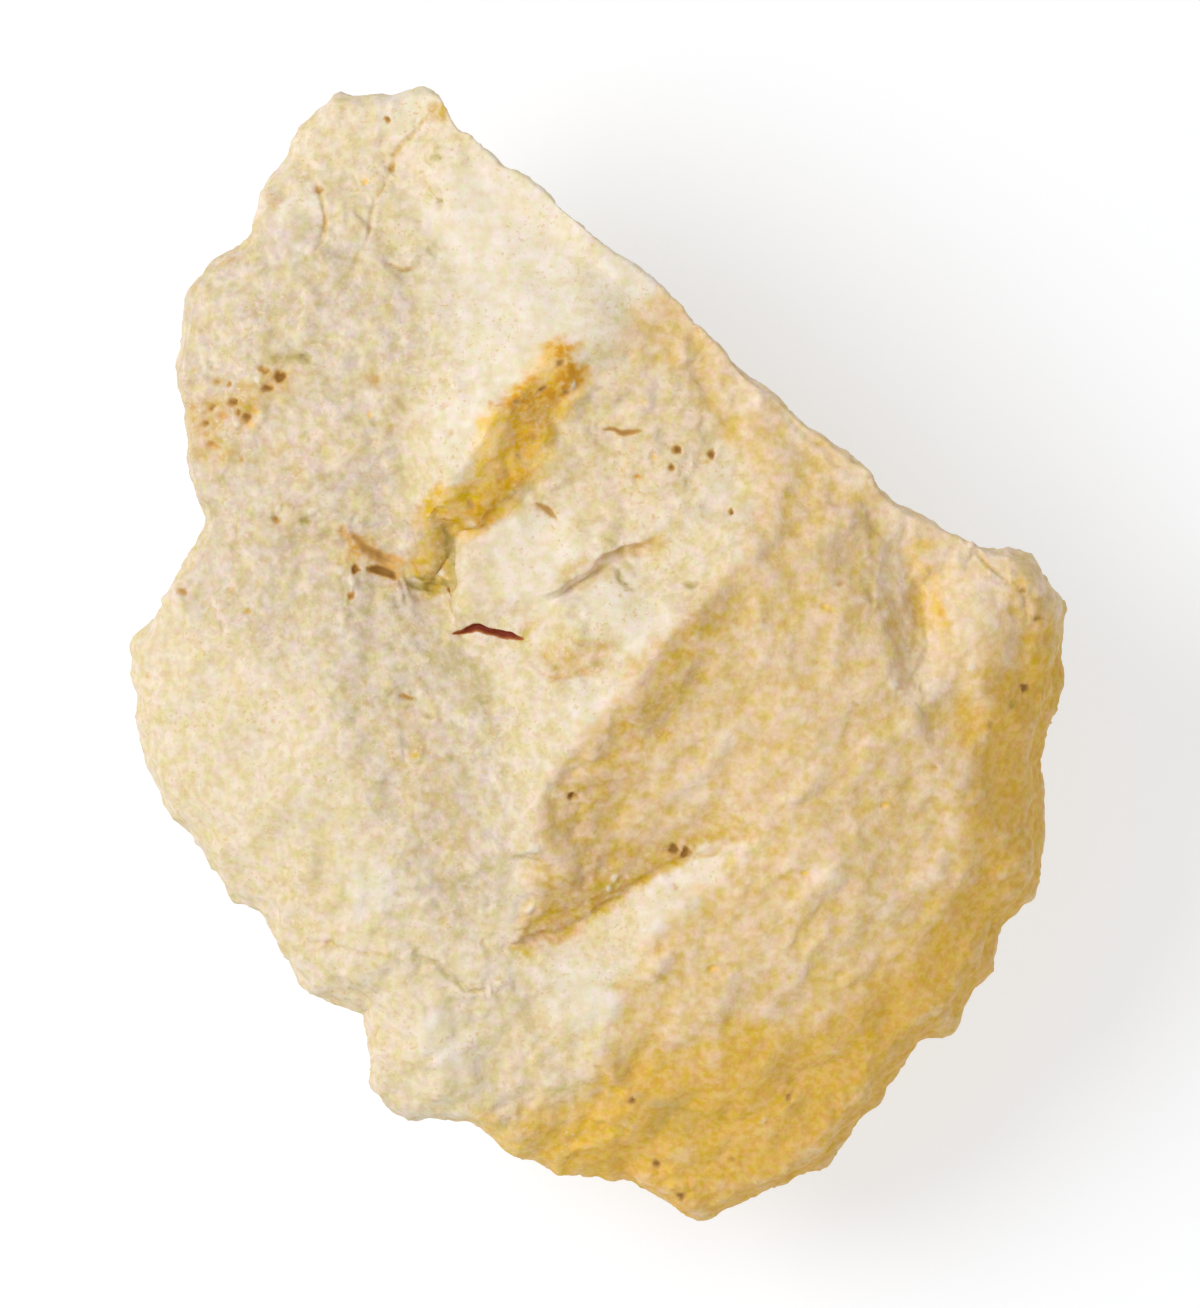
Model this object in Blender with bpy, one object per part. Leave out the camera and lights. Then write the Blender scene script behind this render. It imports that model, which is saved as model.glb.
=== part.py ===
"""Halloysite: a loose lump of pale clay mineral, broken on every side.

The lump is one solid.  Its upper side is laid out like a small map: the rim,
the crests and the feet of its scars are break lines with a height at each
point, with spot heights between them.  The underside is laid out the same
way.  Both are triangulated up to the rim they share.  The closed core is then
divided finely, its sides are scarred, its edges bent and its faces chipped, and
it is cut flat where it rests.

Metres, +Z up.  The origin is at the bottom centre of the lump's box: the
lump lies on its flat spot at z = 0, with its long side along Y.
"""
import bpy
import bmesh
from mathutils import Matrix, Vector
from mathutils.geometry import delaunay_2d_cdt

MM = 0.001

# Driving dimensions, metres
LENGTH = 70.0 * MM            # along Y, tip to tip
WIDTH = 57.6 * MM             # along X
HEIGHT = 29.5 * MM            # flat spot to the highest crest

UPPER_EDGE = 1.75 * MM        # longest edge of a triangle on the upper side
UNDER_EDGE = 3.2 * MM         # and on the sides and underside
DIVIDE_ROUNDS = 8             # halvings that bring every edge below those
WARP_SIZE = 6.0 * MM          # how far apart the bends in its edges are
WARP = 0.9 * MM               # how far those bends swing
CHIP_SIZE = 3.2 * MM          # size of the chips on its faces
CHIP = 0.6 * MM               # their depth
SCAR_SIZE = 9.0 * MM          # size of the hollow scars on the sides and underside
SCAR = 3.0 * MM               # their depth
FLAT_ANGLE = 0.001            # radians; two triangles closer than this lie in one facet
JOIN_DISTANCE = 0.01 * MM     # points closer than this are one
SHOULDER_RUN = 0.32           # a rim shoulder's width over its height
SHOULDER_MIN = 0.25           # its least width, mm
FLAT_DEPTH = 0.45 * MM        # how much of the underside the rest cut takes off
SLAB_SIDE = 200.0 * MM        # the slab that makes the rest cut
SLAB_THICKNESS = 10.0 * MM

# Rim, clockwise seen from above from the top tip: x, y, height, and how far
# the shoulder just inside it stands above it, mm
RIM = (
    (-10.8, 35.0, 21.4, 2.0), (-9.7, 34.5, 22.8, 1.8), (-8.5, 32.1, 24.2, 0.9),
    (-2.3, 27.5, 26.2, 0.6), (4.5, 21.9, 27.2, 0.6), (7.0, 19.2, 26.9, 0.7),
    (11.7, 15.1, 26.0, 0.7), (16.4, 11.3, 25.0, 0.9), (18.1, 9.4, 24.2, 1.2),
    (22.2, 7.2, 22.6, 1.8), (26.4, 6.2, 21.0, 3.0), (28.6, 3.7, 18.8, 3.8),
    (28.4, -2.3, 17.6, 3.8), (26.9, -6.8, 17.0, 3.9), (27.3, -13.4, 16.2, 3.7),
    (25.0, -16.8, 15.6, 3.9), (24.2, -19.1, 15.6, 3.6), (21.6, -22.9, 15.2, 4.0),
    (19.4, -23.9, 15.0, 4.2), (18.2, -26.0, 14.4, 4.2), (13.9, -31.2, 12.8, 3.4),
    (6.4, -35.0, 11.4, 2.8), (4.0, -34.2, 11.6, 3.0), (1.7, -32.1, 12.4, 3.0),
    (-2.1, -32.1, 13.2, 2.8), (-5.8, -30.4, 15.6, 2.6), (-7.5, -28.9, 16.2, 2.6),
    (-11.7, -28.7, 16.6, 2.4), (-13.1, -27.6, 16.6, 2.4), (-13.9, -26.5, 16.8, 2.4),
    (-14.5, -22.1, 17.0, 2.4), (-18.3, -20.4, 16.6, 2.2), (-20.9, -15.6, 17.2, 2.2),
    (-22.5, -14.8, 16.6, 2.4), (-26.6, -9.5, 16.6, 2.4), (-28.4, -4.7, 16.8, 2.6),
    (-28.8, 0.7, 17.2, 2.8), (-27.2, 2.8, 18.0, 2.8), (-24.1, 8.5, 19.6, 2.8),
    (-25.2, 11.4, 19.6, 2.8), (-26.0, 17.8, 19.4, 2.8), (-25.1, 22.5, 20.0, 2.6),
    (-21.5, 25.8, 20.4, 2.2), (-20.7, 28.8, 20.2, 2.0), (-18.9, 31.0, 20.0, 2.0),
    (-17.2, 33.3, 20.6, 2.0), (-16.0, 34.3, 20.8, 2.0), (-13.0, 34.3, 21.4, 2.0),
)

# Break lines of the upper side: x, y, height, mm
UPPER_LINES = {
    "crown crest": (
        (0.2, 19.6, 28.4), (-2.3, 18.5, 29.0), (-4.4, 16.5, 29.1), (-6.3, 14.4, 28.9),
        (-7.8, 12.0, 28.2), (-9.3, 9.6, 27.0), (-10.5, 8.3, 25.8)),
    "crown wall foot": (
        (0.9, 17.1, 27.4), (-0.2, 15.9, 26.8), (-2.2, 13.8, 26.2), (-3.8, 11.7, 25.7),
        (-5.1, 9.2, 25.2), (-6.3, 7.8, 24.7), (-8.7, 7.5, 24.1)),
    "crown flank": ((-9.1, 15.6, 27.4), (-9.6, 11.3, 27.2), (-10.3, 9.5, 26.2)),
    "flank foot": (
        (-11.1, 16.5, 26.2), (-11.7, 13.2, 25.7), (-11.9, 10.1, 25.1), (-12.4, 8.0, 24.6)),
    "pit row": ((-14.8, 6.2, 23.8), (-12.4, 5.4, 23.3), (-10.2, 4.1, 23.2)),
    "step": ((-8.5, 7.2, 24.2), (-8.5, 3.5, 25.4)),
    "upper splinter": (
        (-4.7, 6.9, 25.0), (-2.3, 8.3, 24.8), (1.4, 8.8, 25.3), (5.0, 9.5, 26.1)),
    "splinter edge": ((-2.9, 3.7, 26.6), (0.2, 6.0, 26.3), (2.6, 6.8, 26.3)),
    "splinter crevice": ((-3.0, 3.3, 25.8), (0.3, 5.3, 25.6), (2.6, 6.3, 25.9)),
    "lower splinter": (
        (-2.3, 2.7, 26.6), (0.5, 4.5, 26.4), (2.6, 3.5, 27.0), (2.6, 1.5, 27.6),
        (-1.4, 1.0, 27.1)),
    "scoop": ((-3.2, -1.0, 26.1), (0.2, 0.7, 26.9), (0.8, -0.2, 26.7)),
    "main ridge": (
        (10.4, 8.4, 27.6), (8.7, 6.8, 28.2), (6.3, 3.4, 28.7), (3.5, 0.4, 28.6),
        (1.4, -2.1, 28.1), (0.0, -3.4, 27.7), (-1.4, -5.1, 27.1), (-2.6, -6.6, 26.6),
        (-3.8, -8.8, 26.1), (-4.2, -11.8, 25.2), (-3.2, -12.3, 25.0)),
    "ridge foot": (
        (12.4, 5.9, 27.6), (9.0, 1.6, 27.6), (5.9, -2.1, 27.2), (3.2, -5.1, 26.4),
        (1.4, -8.2, 25.3), (0.0, -10.9, 24.3)),
    "notch lip": (
        (0.1, -11.4, 24.2), (-1.4, -12.6, 23.9), (-2.7, -14.0, 23.5), (-3.8, -15.4, 23.0),
        (-5.1, -17.1, 22.4)),
    "notch floor": (
        (-5.5, -17.4, 21.9), (-3.2, -17.2, 21.6), (-1.4, -16.5, 21.7), (0.9, -14.9, 22.0),
        (3.2, -13.4, 22.6), (6.3, -12.2, 23.4), (9.2, -10.9, 24.6)),
    "lower crest": (
        (9.9, -10.7, 24.8), (7.0, -13.8, 24.3), (5.6, -14.9, 24.1), (3.2, -16.7, 23.8),
        (2.3, -18.7, 23.4), (1.5, -20.5, 22.9), (0.4, -23.4, 21.8), (-0.5, -25.9, 20.4),
        (-1.6, -28.6, 18.2)),
    "lower crest foot": (
        (8.4, -15.2, 24.0), (5.6, -17.6, 23.3), (4.1, -20.1, 22.6), (2.9, -23.4, 21.2),
        (1.7, -26.5, 19.6), (0.2, -29.5, 17.2)),
    "pale streak": ((3.5, -8.8, 24.8), (6.3, -7.3, 25.5), (7.6, -4.4, 26.3)),
    "groove below the rim": (
        (6.3, 17.4, 27.1), (9.0, 15.5, 26.8), (12.4, 12.3, 26.3), (15.4, 9.6, 25.8),
        (17.2, 6.8, 25.2)),
    "knob valley": ((18.5, 6.8, 24.6), (19.4, 4.0, 24.2), (19.6, 0.4, 24.1), (19.2, -2.7, 24.8)),
    "plate edge": (
        (-23.9, 1.0, 22.2), (-21.2, 0.1, 23.1), (-18.1, -0.5, 23.9), (-16.3, -2.7, 24.1),
        (-15.0, -5.7, 24.1), (-12.0, -10.0, 23.4), (-9.6, -13.1, 22.9), (-7.5, -16.7, 22.2)),
}

# Spot heights of the upper side between those lines: x, y, height, mm
UPPER_SPOTS = {
    "crown": (
        (-9.6, 32.1, 24.1), (-5.9, 27.5, 24.9), (-2.3, 25.4, 26.2), (-5.9, 22.3, 26.7),
        (-8.9, 19.9, 26.7), (1.4, 22.3, 27.5), (-3.5, 20.5, 28.2), (-8.7, 25.4, 24.9)),
    "left shoulder": (
        (-16.3, 30.9, 22.6), (-12.4, 30.9, 23.0), (-12.7, 24.8, 24.6), (-12.0, 19.9, 26.0),
        (-18.1, 26.0, 24.0), (-21.8, 21.7, 23.8), (-16.9, 20.5, 25.2), (-21.2, 15.6, 24.3),
        (-15.7, 14.4, 25.6), (-21.2, 10.7, 23.7), (-15.7, 9.5, 24.7)),
    "shelf": (
        (5.0, 17.8, 27.4), (6.3, 12.6, 26.7), (10.2, 13.2, 26.6), (3.2, 10.1, 26.0),
        (7.5, 9.8, 26.6), (11.1, 9.5, 27.1)),
    "below the step": (
        (-8.5, 1.5, 24.4), (-4.4, 1.3, 25.4), (-7.8, -0.2, 24.6), (-7.2, -2.7, 24.9),
        (-3.5, -2.1, 26.5), (-6.0, -5.1, 25.1), (5.6, 5.9, 27.0), (5.6, 4.1, 27.8)),
    "right face": (
        (12.4, 3.4, 27.3), (15.4, 8.3, 26.4), (16.6, 2.8, 26.5), (12.4, -2.7, 26.7),
        (18.1, -2.7, 25.4), (9.9, -8.8, 25.4), (15.4, -8.8, 25.0), (21.8, -8.8, 23.5),
        (23.6, -3.9, 23.5), (15.4, -14.9, 23.4), (18.5, -17.9, 21.7), (12.4, -19.8, 22.2),
        (9.3, -24.0, 20.6), (15.4, -24.0, 19.6), (6.3, -22.2, 21.7), (5.6, -27.1, 18.9),
        (8.7, -30.1, 16.8), (22.1, -13.7, 22.2)),
    "knob": ((23.2, 5.2, 24.2), (21.8, 2.8, 25.0), (25.8, 3.1, 24.4), (23.0, -0.2, 24.5)),
    "middle band": (
        (-21.2, 5.9, 23.2), (-18.1, 3.4, 23.8), (-12.0, 1.0, 24.2), (-15.1, 1.0, 24.1),
        (-9.0, -2.7, 24.5), (-12.0, -5.1, 23.9), (-7.2, -7.6, 24.6), (-6.6, -11.8, 24.1),
        (-10.2, -8.8, 23.7)),
    "left plate": (
        (-25.5, -2.7, 20.8), (-24.2, -8.8, 20.4), (-18.8, -5.7, 22.8), (-18.1, -11.8, 21.9),
        (-18.6, -15.2, 20.9), (-13.3, -14.9, 22.8), (-12.0, -18.5, 21.9), (-15.7, -19.5, 20.9),
        (-10.2, -24.0, 21.0), (-10.2, -26.8, 20.2), (-26.1, 0.4, 20.8)),
    "below the notch": (
        (-2.3, -18.8, 22.4), (-4.7, -21.0, 21.4), (-2.3, -22.8, 21.2), (-5.9, -24.0, 20.2),
        (-3.5, -27.1, 19.3)),
}

# Underside: the belly that the sides drop to, and the facets inside it
UNDER_LINES = {
    "belly": (
        (-11.0, 29.6, 12.4), (-4.4, 25.2, 7.6), (4.8, 17.2, 8.8), (13.6, 9.6, 5.0),
        (21.8, 4.2, 9.0), (25.0, -3.4, 5.2), (23.2, -12.4, 7.4), (18.4, -20.2, 3.8),
        (12.6, -26.2, 6.2), (5.4, -30.2, 3.8), (-2.6, -28.2, 7.2), (-10.4, -24.6, 5.2),
        (-15.4, -18.8, 8.0), (-20.4, -11.8, 4.6), (-25.2, -4.8, 8.4), (-24.8, 1.4, 5.6),
        (-21.2, 8.4, 9.6), (-22.2, 16.4, 7.0), (-20.4, 22.6, 11.0), (-16.2, 29.0, 9.4)),
    "flat spot": (
        (-6.2, 7.4, 0.0), (3.4, 8.2, 0.0), (10.2, 2.4, 0.0), (11.0, -6.4, 0.0),
        (5.2, -12.6, 0.0), (-3.6, -11.8, 0.0), (-9.4, -5.2, 0.0), (-9.8, 1.6, 0.0)),
    "keel": ((-7.6, 11.6, 1.0), (-10.8, 18.4, 3.4), (-12.6, 24.6, 6.2)),
    "wall ledge": (
        (-6.6, 28.6, 19.0), (-0.6, 23.6, 16.5), (4.6, 19.6, 18.5), (9.8, 15.0, 15.5),
        (15.0, 10.8, 17.5)),
    "east ledge": ((27.2, 1.6, 12.0), (26.4, -5.4, 11.2), (25.2, -11.0, 9.6)),
    "south-east ledge": ((23.4, -17.6, 9.0), (19.6, -21.8, 10.4), (16.0, -26.2, 8.2)),
    "south ledge": ((8.6, -32.2, 7.2), (2.4, -31.0, 9.6), (-4.6, -29.4, 10.8)),
    "west ledge": (
        (-12.2, -26.0, 12.0), (-13.6, -22.2, 9.6), (-17.0, -19.2, 11.4), (-22.0, -13.4, 12.2),
        (-26.6, -5.6, 11.0), (-26.8, 1.0, 12.6)),
    "north-west ledge": (
        (-22.6, 9.6, 15.0), (-24.0, 16.6, 13.2), (-22.4, 22.6, 14.8), (-18.4, 29.6, 14.2)),
}
UNDER_LOOPS = ("belly", "flat spot")
UNDER_SPOTS = {
    "facets": (
        (-16.4, -3.6, 2.0), (-14.2, 6.8, 3.2), (-8.4, -16.2, 2.2), (3.2, -20.4, 2.6),
        (14.6, -14.2, 1.6), (17.4, -2.2, 2.2), (8.6, 9.8, 2.4), (-1.6, 15.8, 3.0)),
}


def shoulder(rim):
    """The line just inside the rim where the upper side turns down to it."""
    points = []
    for x, y, height, rise in rim:
        inward = -Vector((x, y)).normalized()
        run = max(SHOULDER_RUN * rise, SHOULDER_MIN)
        points.append((x + inward.x * run, y + inward.y * run, height + rise))
    return points


def triangulate(outline, lines, spots):
    """Heights (x, y, z) and triangles inside a closed outline, with the lines as edges."""
    points = list(outline)
    edges = []
    for line, closed in lines:
        first = len(points)
        points.extend(line)
        edges.extend((first + i, first + i + 1) for i in range(len(line) - 1))
        if closed:
            edges.append((len(points) - 1, first))
    points.extend(spots)
    flat = [Vector(p[:2]) for p in points]
    border = [list(range(len(outline)))[::-1]]
    inside_only = 1
    verts, _, faces, origin, _, _ = delaunay_2d_cdt(flat, edges, border, inside_only, 1e-6)
    placed = [points[origin[i][0]] for i in range(len(verts))]
    return placed, faces


def divide(bm):
    """Halve the long edges again and again; break lines stay edges, so they stay sharp."""
    def too_long(edge):
        upward = max(face.normal.z for face in edge.link_faces)
        return edge.calc_length() > (UPPER_EDGE if upward > 0 else UNDER_EDGE)

    for _ in range(DIVIDE_ROUNDS):
        long_edges = [e for e in bm.edges if too_long(e)]
        if not long_edges:
            break
        bmesh.ops.subdivide_edges(bm, edges=long_edges, cuts=1)
        bmesh.ops.triangulate(bm, faces=[f for f in bm.faces if len(f.verts) > 3])
        bm.normal_update()
    flat_edges = [e for e in bm.edges if e.calc_face_angle() < FLAT_ANGLE]
    bmesh.ops.beautify_fill(bm, faces=bm.faces, edges=flat_edges)


def core_mesh():
    """Upper side and underside, closed at the rim they share."""
    rim = [p[:3] for p in RIM]
    upper = [(shoulder(RIM), True)] + [(line, False) for line in UPPER_LINES.values()]
    under = [(line, name in UNDER_LOOPS) for name, line in UNDER_LINES.items()]
    upper_spots = [p for spots in UPPER_SPOTS.values() for p in spots]
    under_spots = [p for spots in UNDER_SPOTS.values() for p in spots]
    bm = bmesh.new()
    weights = bm.verts.layers.deform.verify()
    for lines, spots, flip in ((upper, upper_spots, False), (under, under_spots, True)):
        points, faces = triangulate(rim, lines, spots)
        verts = [bm.verts.new(Vector(p) * MM) for p in points]
        for vert, point in zip(verts, points):
            scarred = flip and point not in rim and point[2] > 0
            vert[weights][0] = 1.0 if scarred else 0.0
        for face in faces:
            bm.faces.new([verts[i] for i in (reversed(face) if flip else face)])
    bmesh.ops.remove_doubles(bm, verts=bm.verts, dist=JOIN_DISTANCE)
    bmesh.ops.recalc_face_normals(bm, faces=bm.faces)
    divide(bm)
    mesh = bpy.data.meshes.new("halloysite core")
    bm.to_mesh(mesh)
    bm.free()
    return mesh


def clouds(name, size, colour):
    texture = bpy.data.textures.new(name, "CLOUDS")
    texture.noise_scale = size
    texture.noise_depth = 2
    texture.cloud_type = "COLOR" if colour else "GRAYSCALE"
    return texture


def roughen(lump):
    """Scar the sides and underside, bend the core's edges and chip its faces."""
    lump.vertex_groups.new(name="scarred")
    hollows = bpy.data.textures.new("hollows", "VORONOI")
    hollows.noise_scale = SCAR_SIZE
    hollows.distance_metric = "DISTANCE"
    scars = lump.modifiers.new("scars", "DISPLACE")
    scars.texture = hollows
    scars.strength = SCAR
    scars.vertex_group = "scarred"
    warp = lump.modifiers.new("bent edges", "DISPLACE")
    warp.texture = clouds("bends", WARP_SIZE, True)
    warp.direction = "RGB_TO_XYZ"
    warp.strength = WARP
    chips = lump.modifiers.new("chipped faces", "DISPLACE")
    chips.texture = clouds("chips", CHIP_SIZE, False)
    chips.strength = CHIP


def evaluated(lump):
    depsgraph = bpy.context.evaluated_depsgraph_get()
    return bpy.data.meshes.new_from_object(lump.evaluated_get(depsgraph))


def fit(mesh):
    """Bring the mesh to its driving size, centred in plan, with the flat spot's excess below 0."""
    low = [min(v.co[i] for v in mesh.vertices) for i in range(3)]
    high = [max(v.co[i] for v in mesh.vertices) for i in range(3)]
    middle = Vector(((low[0] + high[0]) / 2, (low[1] + high[1]) / 2, low[2]))
    sizes = (WIDTH, LENGTH, HEIGHT + FLAT_DEPTH)
    scales = [sizes[i] / (high[i] - low[i]) for i in range(3)]
    lower = Matrix.Translation((0, 0, -FLAT_DEPTH))
    mesh.transform(lower @ Matrix.Diagonal((*scales, 1)) @ Matrix.Translation(-middle))


def rest_cutter(collection):
    """A slab below z = 0 that cuts the flat spot."""
    bpy.ops.mesh.primitive_cube_add(size=1)
    slab = bpy.context.object
    slab.name = "rest cut"
    slab.data.transform(Matrix.Diagonal((SLAB_SIDE, SLAB_SIDE, SLAB_THICKNESS, 1)))
    slab.location.z = -SLAB_THICKNESS / 2
    slab.hide_render = True
    slab.display_type = "WIRE"
    for other in slab.users_collection:
        other.objects.unlink(slab)
    collection.objects.link(slab)
    return slab


def stone():
    material = bpy.data.materials.new("halloysite")
    material.use_nodes = True
    shader = material.node_tree.nodes["Principled BSDF"]
    shader.inputs["Base Color"].default_value = (0.75, 0.60, 0.40, 1)
    shader.inputs["Roughness"].default_value = 0.85
    shader.inputs["Metallic"].default_value = 0.0
    return material


def main():
    for item in list(bpy.data.objects):
        bpy.data.objects.remove(item, do_unlink=True)
    part = bpy.data.collections.new("halloysite")
    cutters = bpy.data.collections.new("cutters")
    for collection in (part, cutters):
        bpy.context.scene.collection.children.link(collection)

    lump = bpy.data.objects.new("stone", core_mesh())
    part.objects.link(lump)
    roughen(lump)
    mesh = evaluated(lump)
    lump.modifiers.clear()
    lump.data = mesh
    fit(mesh)
    mesh.materials.clear()
    mesh.materials.append(stone())

    cut = lump.modifiers.new("flat spot", "BOOLEAN")
    cut.operation = "DIFFERENCE"
    cut.solver = "EXACT"
    cut.object = rest_cutter(cutters)


main()
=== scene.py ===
import math
import bmesh
import bpy
import numpy as np
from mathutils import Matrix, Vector, noise


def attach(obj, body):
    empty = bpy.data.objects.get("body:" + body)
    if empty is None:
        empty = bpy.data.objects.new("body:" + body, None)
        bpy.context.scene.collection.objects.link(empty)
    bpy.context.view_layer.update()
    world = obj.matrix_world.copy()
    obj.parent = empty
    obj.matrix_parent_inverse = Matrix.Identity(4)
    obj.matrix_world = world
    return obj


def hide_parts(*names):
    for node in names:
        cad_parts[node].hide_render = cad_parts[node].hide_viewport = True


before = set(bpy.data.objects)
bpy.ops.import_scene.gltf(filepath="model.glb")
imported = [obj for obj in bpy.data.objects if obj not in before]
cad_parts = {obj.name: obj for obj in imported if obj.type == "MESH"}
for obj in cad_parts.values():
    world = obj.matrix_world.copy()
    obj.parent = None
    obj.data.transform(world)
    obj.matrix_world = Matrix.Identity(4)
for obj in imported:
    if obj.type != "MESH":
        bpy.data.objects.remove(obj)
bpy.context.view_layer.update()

mm = 0.001
farAway = 1e9            # mm, more than any distance on the stone
nearlyNothing = 1e-12    # keeps a division by nothing out

# the fine mesh: the solid, divided again and again
skin = {
    "node": "stone",
    "joinDistance": 0.001,   # mm; the solid's faces are parted at their edges
    "upperEdge": 0.44,       # mm, longest edge on the upper side
    "besideEdge": 0.32,      # beside cracks and pits
    "carvedEdge": 0.21,      # in them
    "reach": 0.35,           # how far round them the shortest edges go; the next go twice as far
    "underEdge": 0.85,       # on the sides and underside
    "rounds": 5,             # how often an edge may be halved
    "upperTilt": -0.15,      # faces whose normal rises more than this are the upper side
    "restFade": 1.2,         # mm above the flat spot over which the relief sets in
    "recess": 0.20,          # mm, how far the sides stay back behind the rim
    "above": (-0.1, 0.35),   # how steeply a normal rises where the upper side begins and is full
}

# evening out the solid's small flats, while its crests and edges stay
crispness = {
    "tolerance": 0.35,       # difference between two normals that still counts as one face
    "normalPasses": 20,
    "movePasses": 12,
}

# the layers of a noise
octaves = {
    "falloff": 1.0,          # how much weaker each octave of noise is than the last
    "step": 2.0,             # how much finer
    "usual": 3,
}


def fractal(points, size, count, shift=0.0, lean=None):
    # layered noise at points in mm, about -1 to 1; lean is (angle in plan, how much longer that way)
    p = points.copy()
    if lean:
        angle, factor = math.radians(lean[0]), lean[1]
        along = p[:, 0] * math.cos(angle) + p[:, 1] * math.sin(angle)
        across = p[:, 1] * math.cos(angle) - p[:, 0] * math.sin(angle)
        p[:, 0], p[:, 1] = along / factor, across
    p = p / size + shift
    falloff, step = octaves["falloff"], octaves["step"]
    return np.array([noise.fractal(Vector(q), falloff, step, count) for q in p.tolist()])


def smoothstep(low, high, x):
    t = np.clip((x - low) / (high - low), 0, 1)
    return t * t * (3 - 2 * t)


def unit(rows):
    return rows / np.maximum(np.linalg.norm(rows, axis=1, keepdims=True), nearlyNothing)


def readMesh(mesh):
    # points and normals, mm
    co = np.zeros(len(mesh.vertices) * 3, np.float32)
    no = np.zeros(len(mesh.vertices) * 3, np.float32)
    mesh.vertices.foreach_get("co", co)
    mesh.vertices.foreach_get("normal", no)
    return co.reshape(-1, 3).astype(float) / mm, no.reshape(-1, 3).astype(float)


def writeMesh(mesh, co):
    mesh.vertices.foreach_set("co", (co * mm).astype(np.float32).ravel())
    mesh.update()


def distanceTo(line, xy):
    # plan distance to a line of points, and the share of its length at the nearest place
    line = np.array(line, float)
    steps = np.linalg.norm(np.diff(line, axis=0), axis=1)
    starts = np.concatenate([[0], np.cumsum(steps)])
    best, share = np.full(len(xy), farAway), np.zeros(len(xy))
    for i, step in enumerate(steps):
        ahead = (line[i + 1] - line[i]) / step
        t = np.clip((xy - line[i]) @ ahead, 0, step)
        gap = np.linalg.norm(xy - line[i] - t[:, None] * ahead, axis=1)
        nearer = gap < best
        best[nearer] = gap[nearer]
        share[nearer] = ((starts[i] + t) / starts[-1])[nearer]
    return best, share


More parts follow.
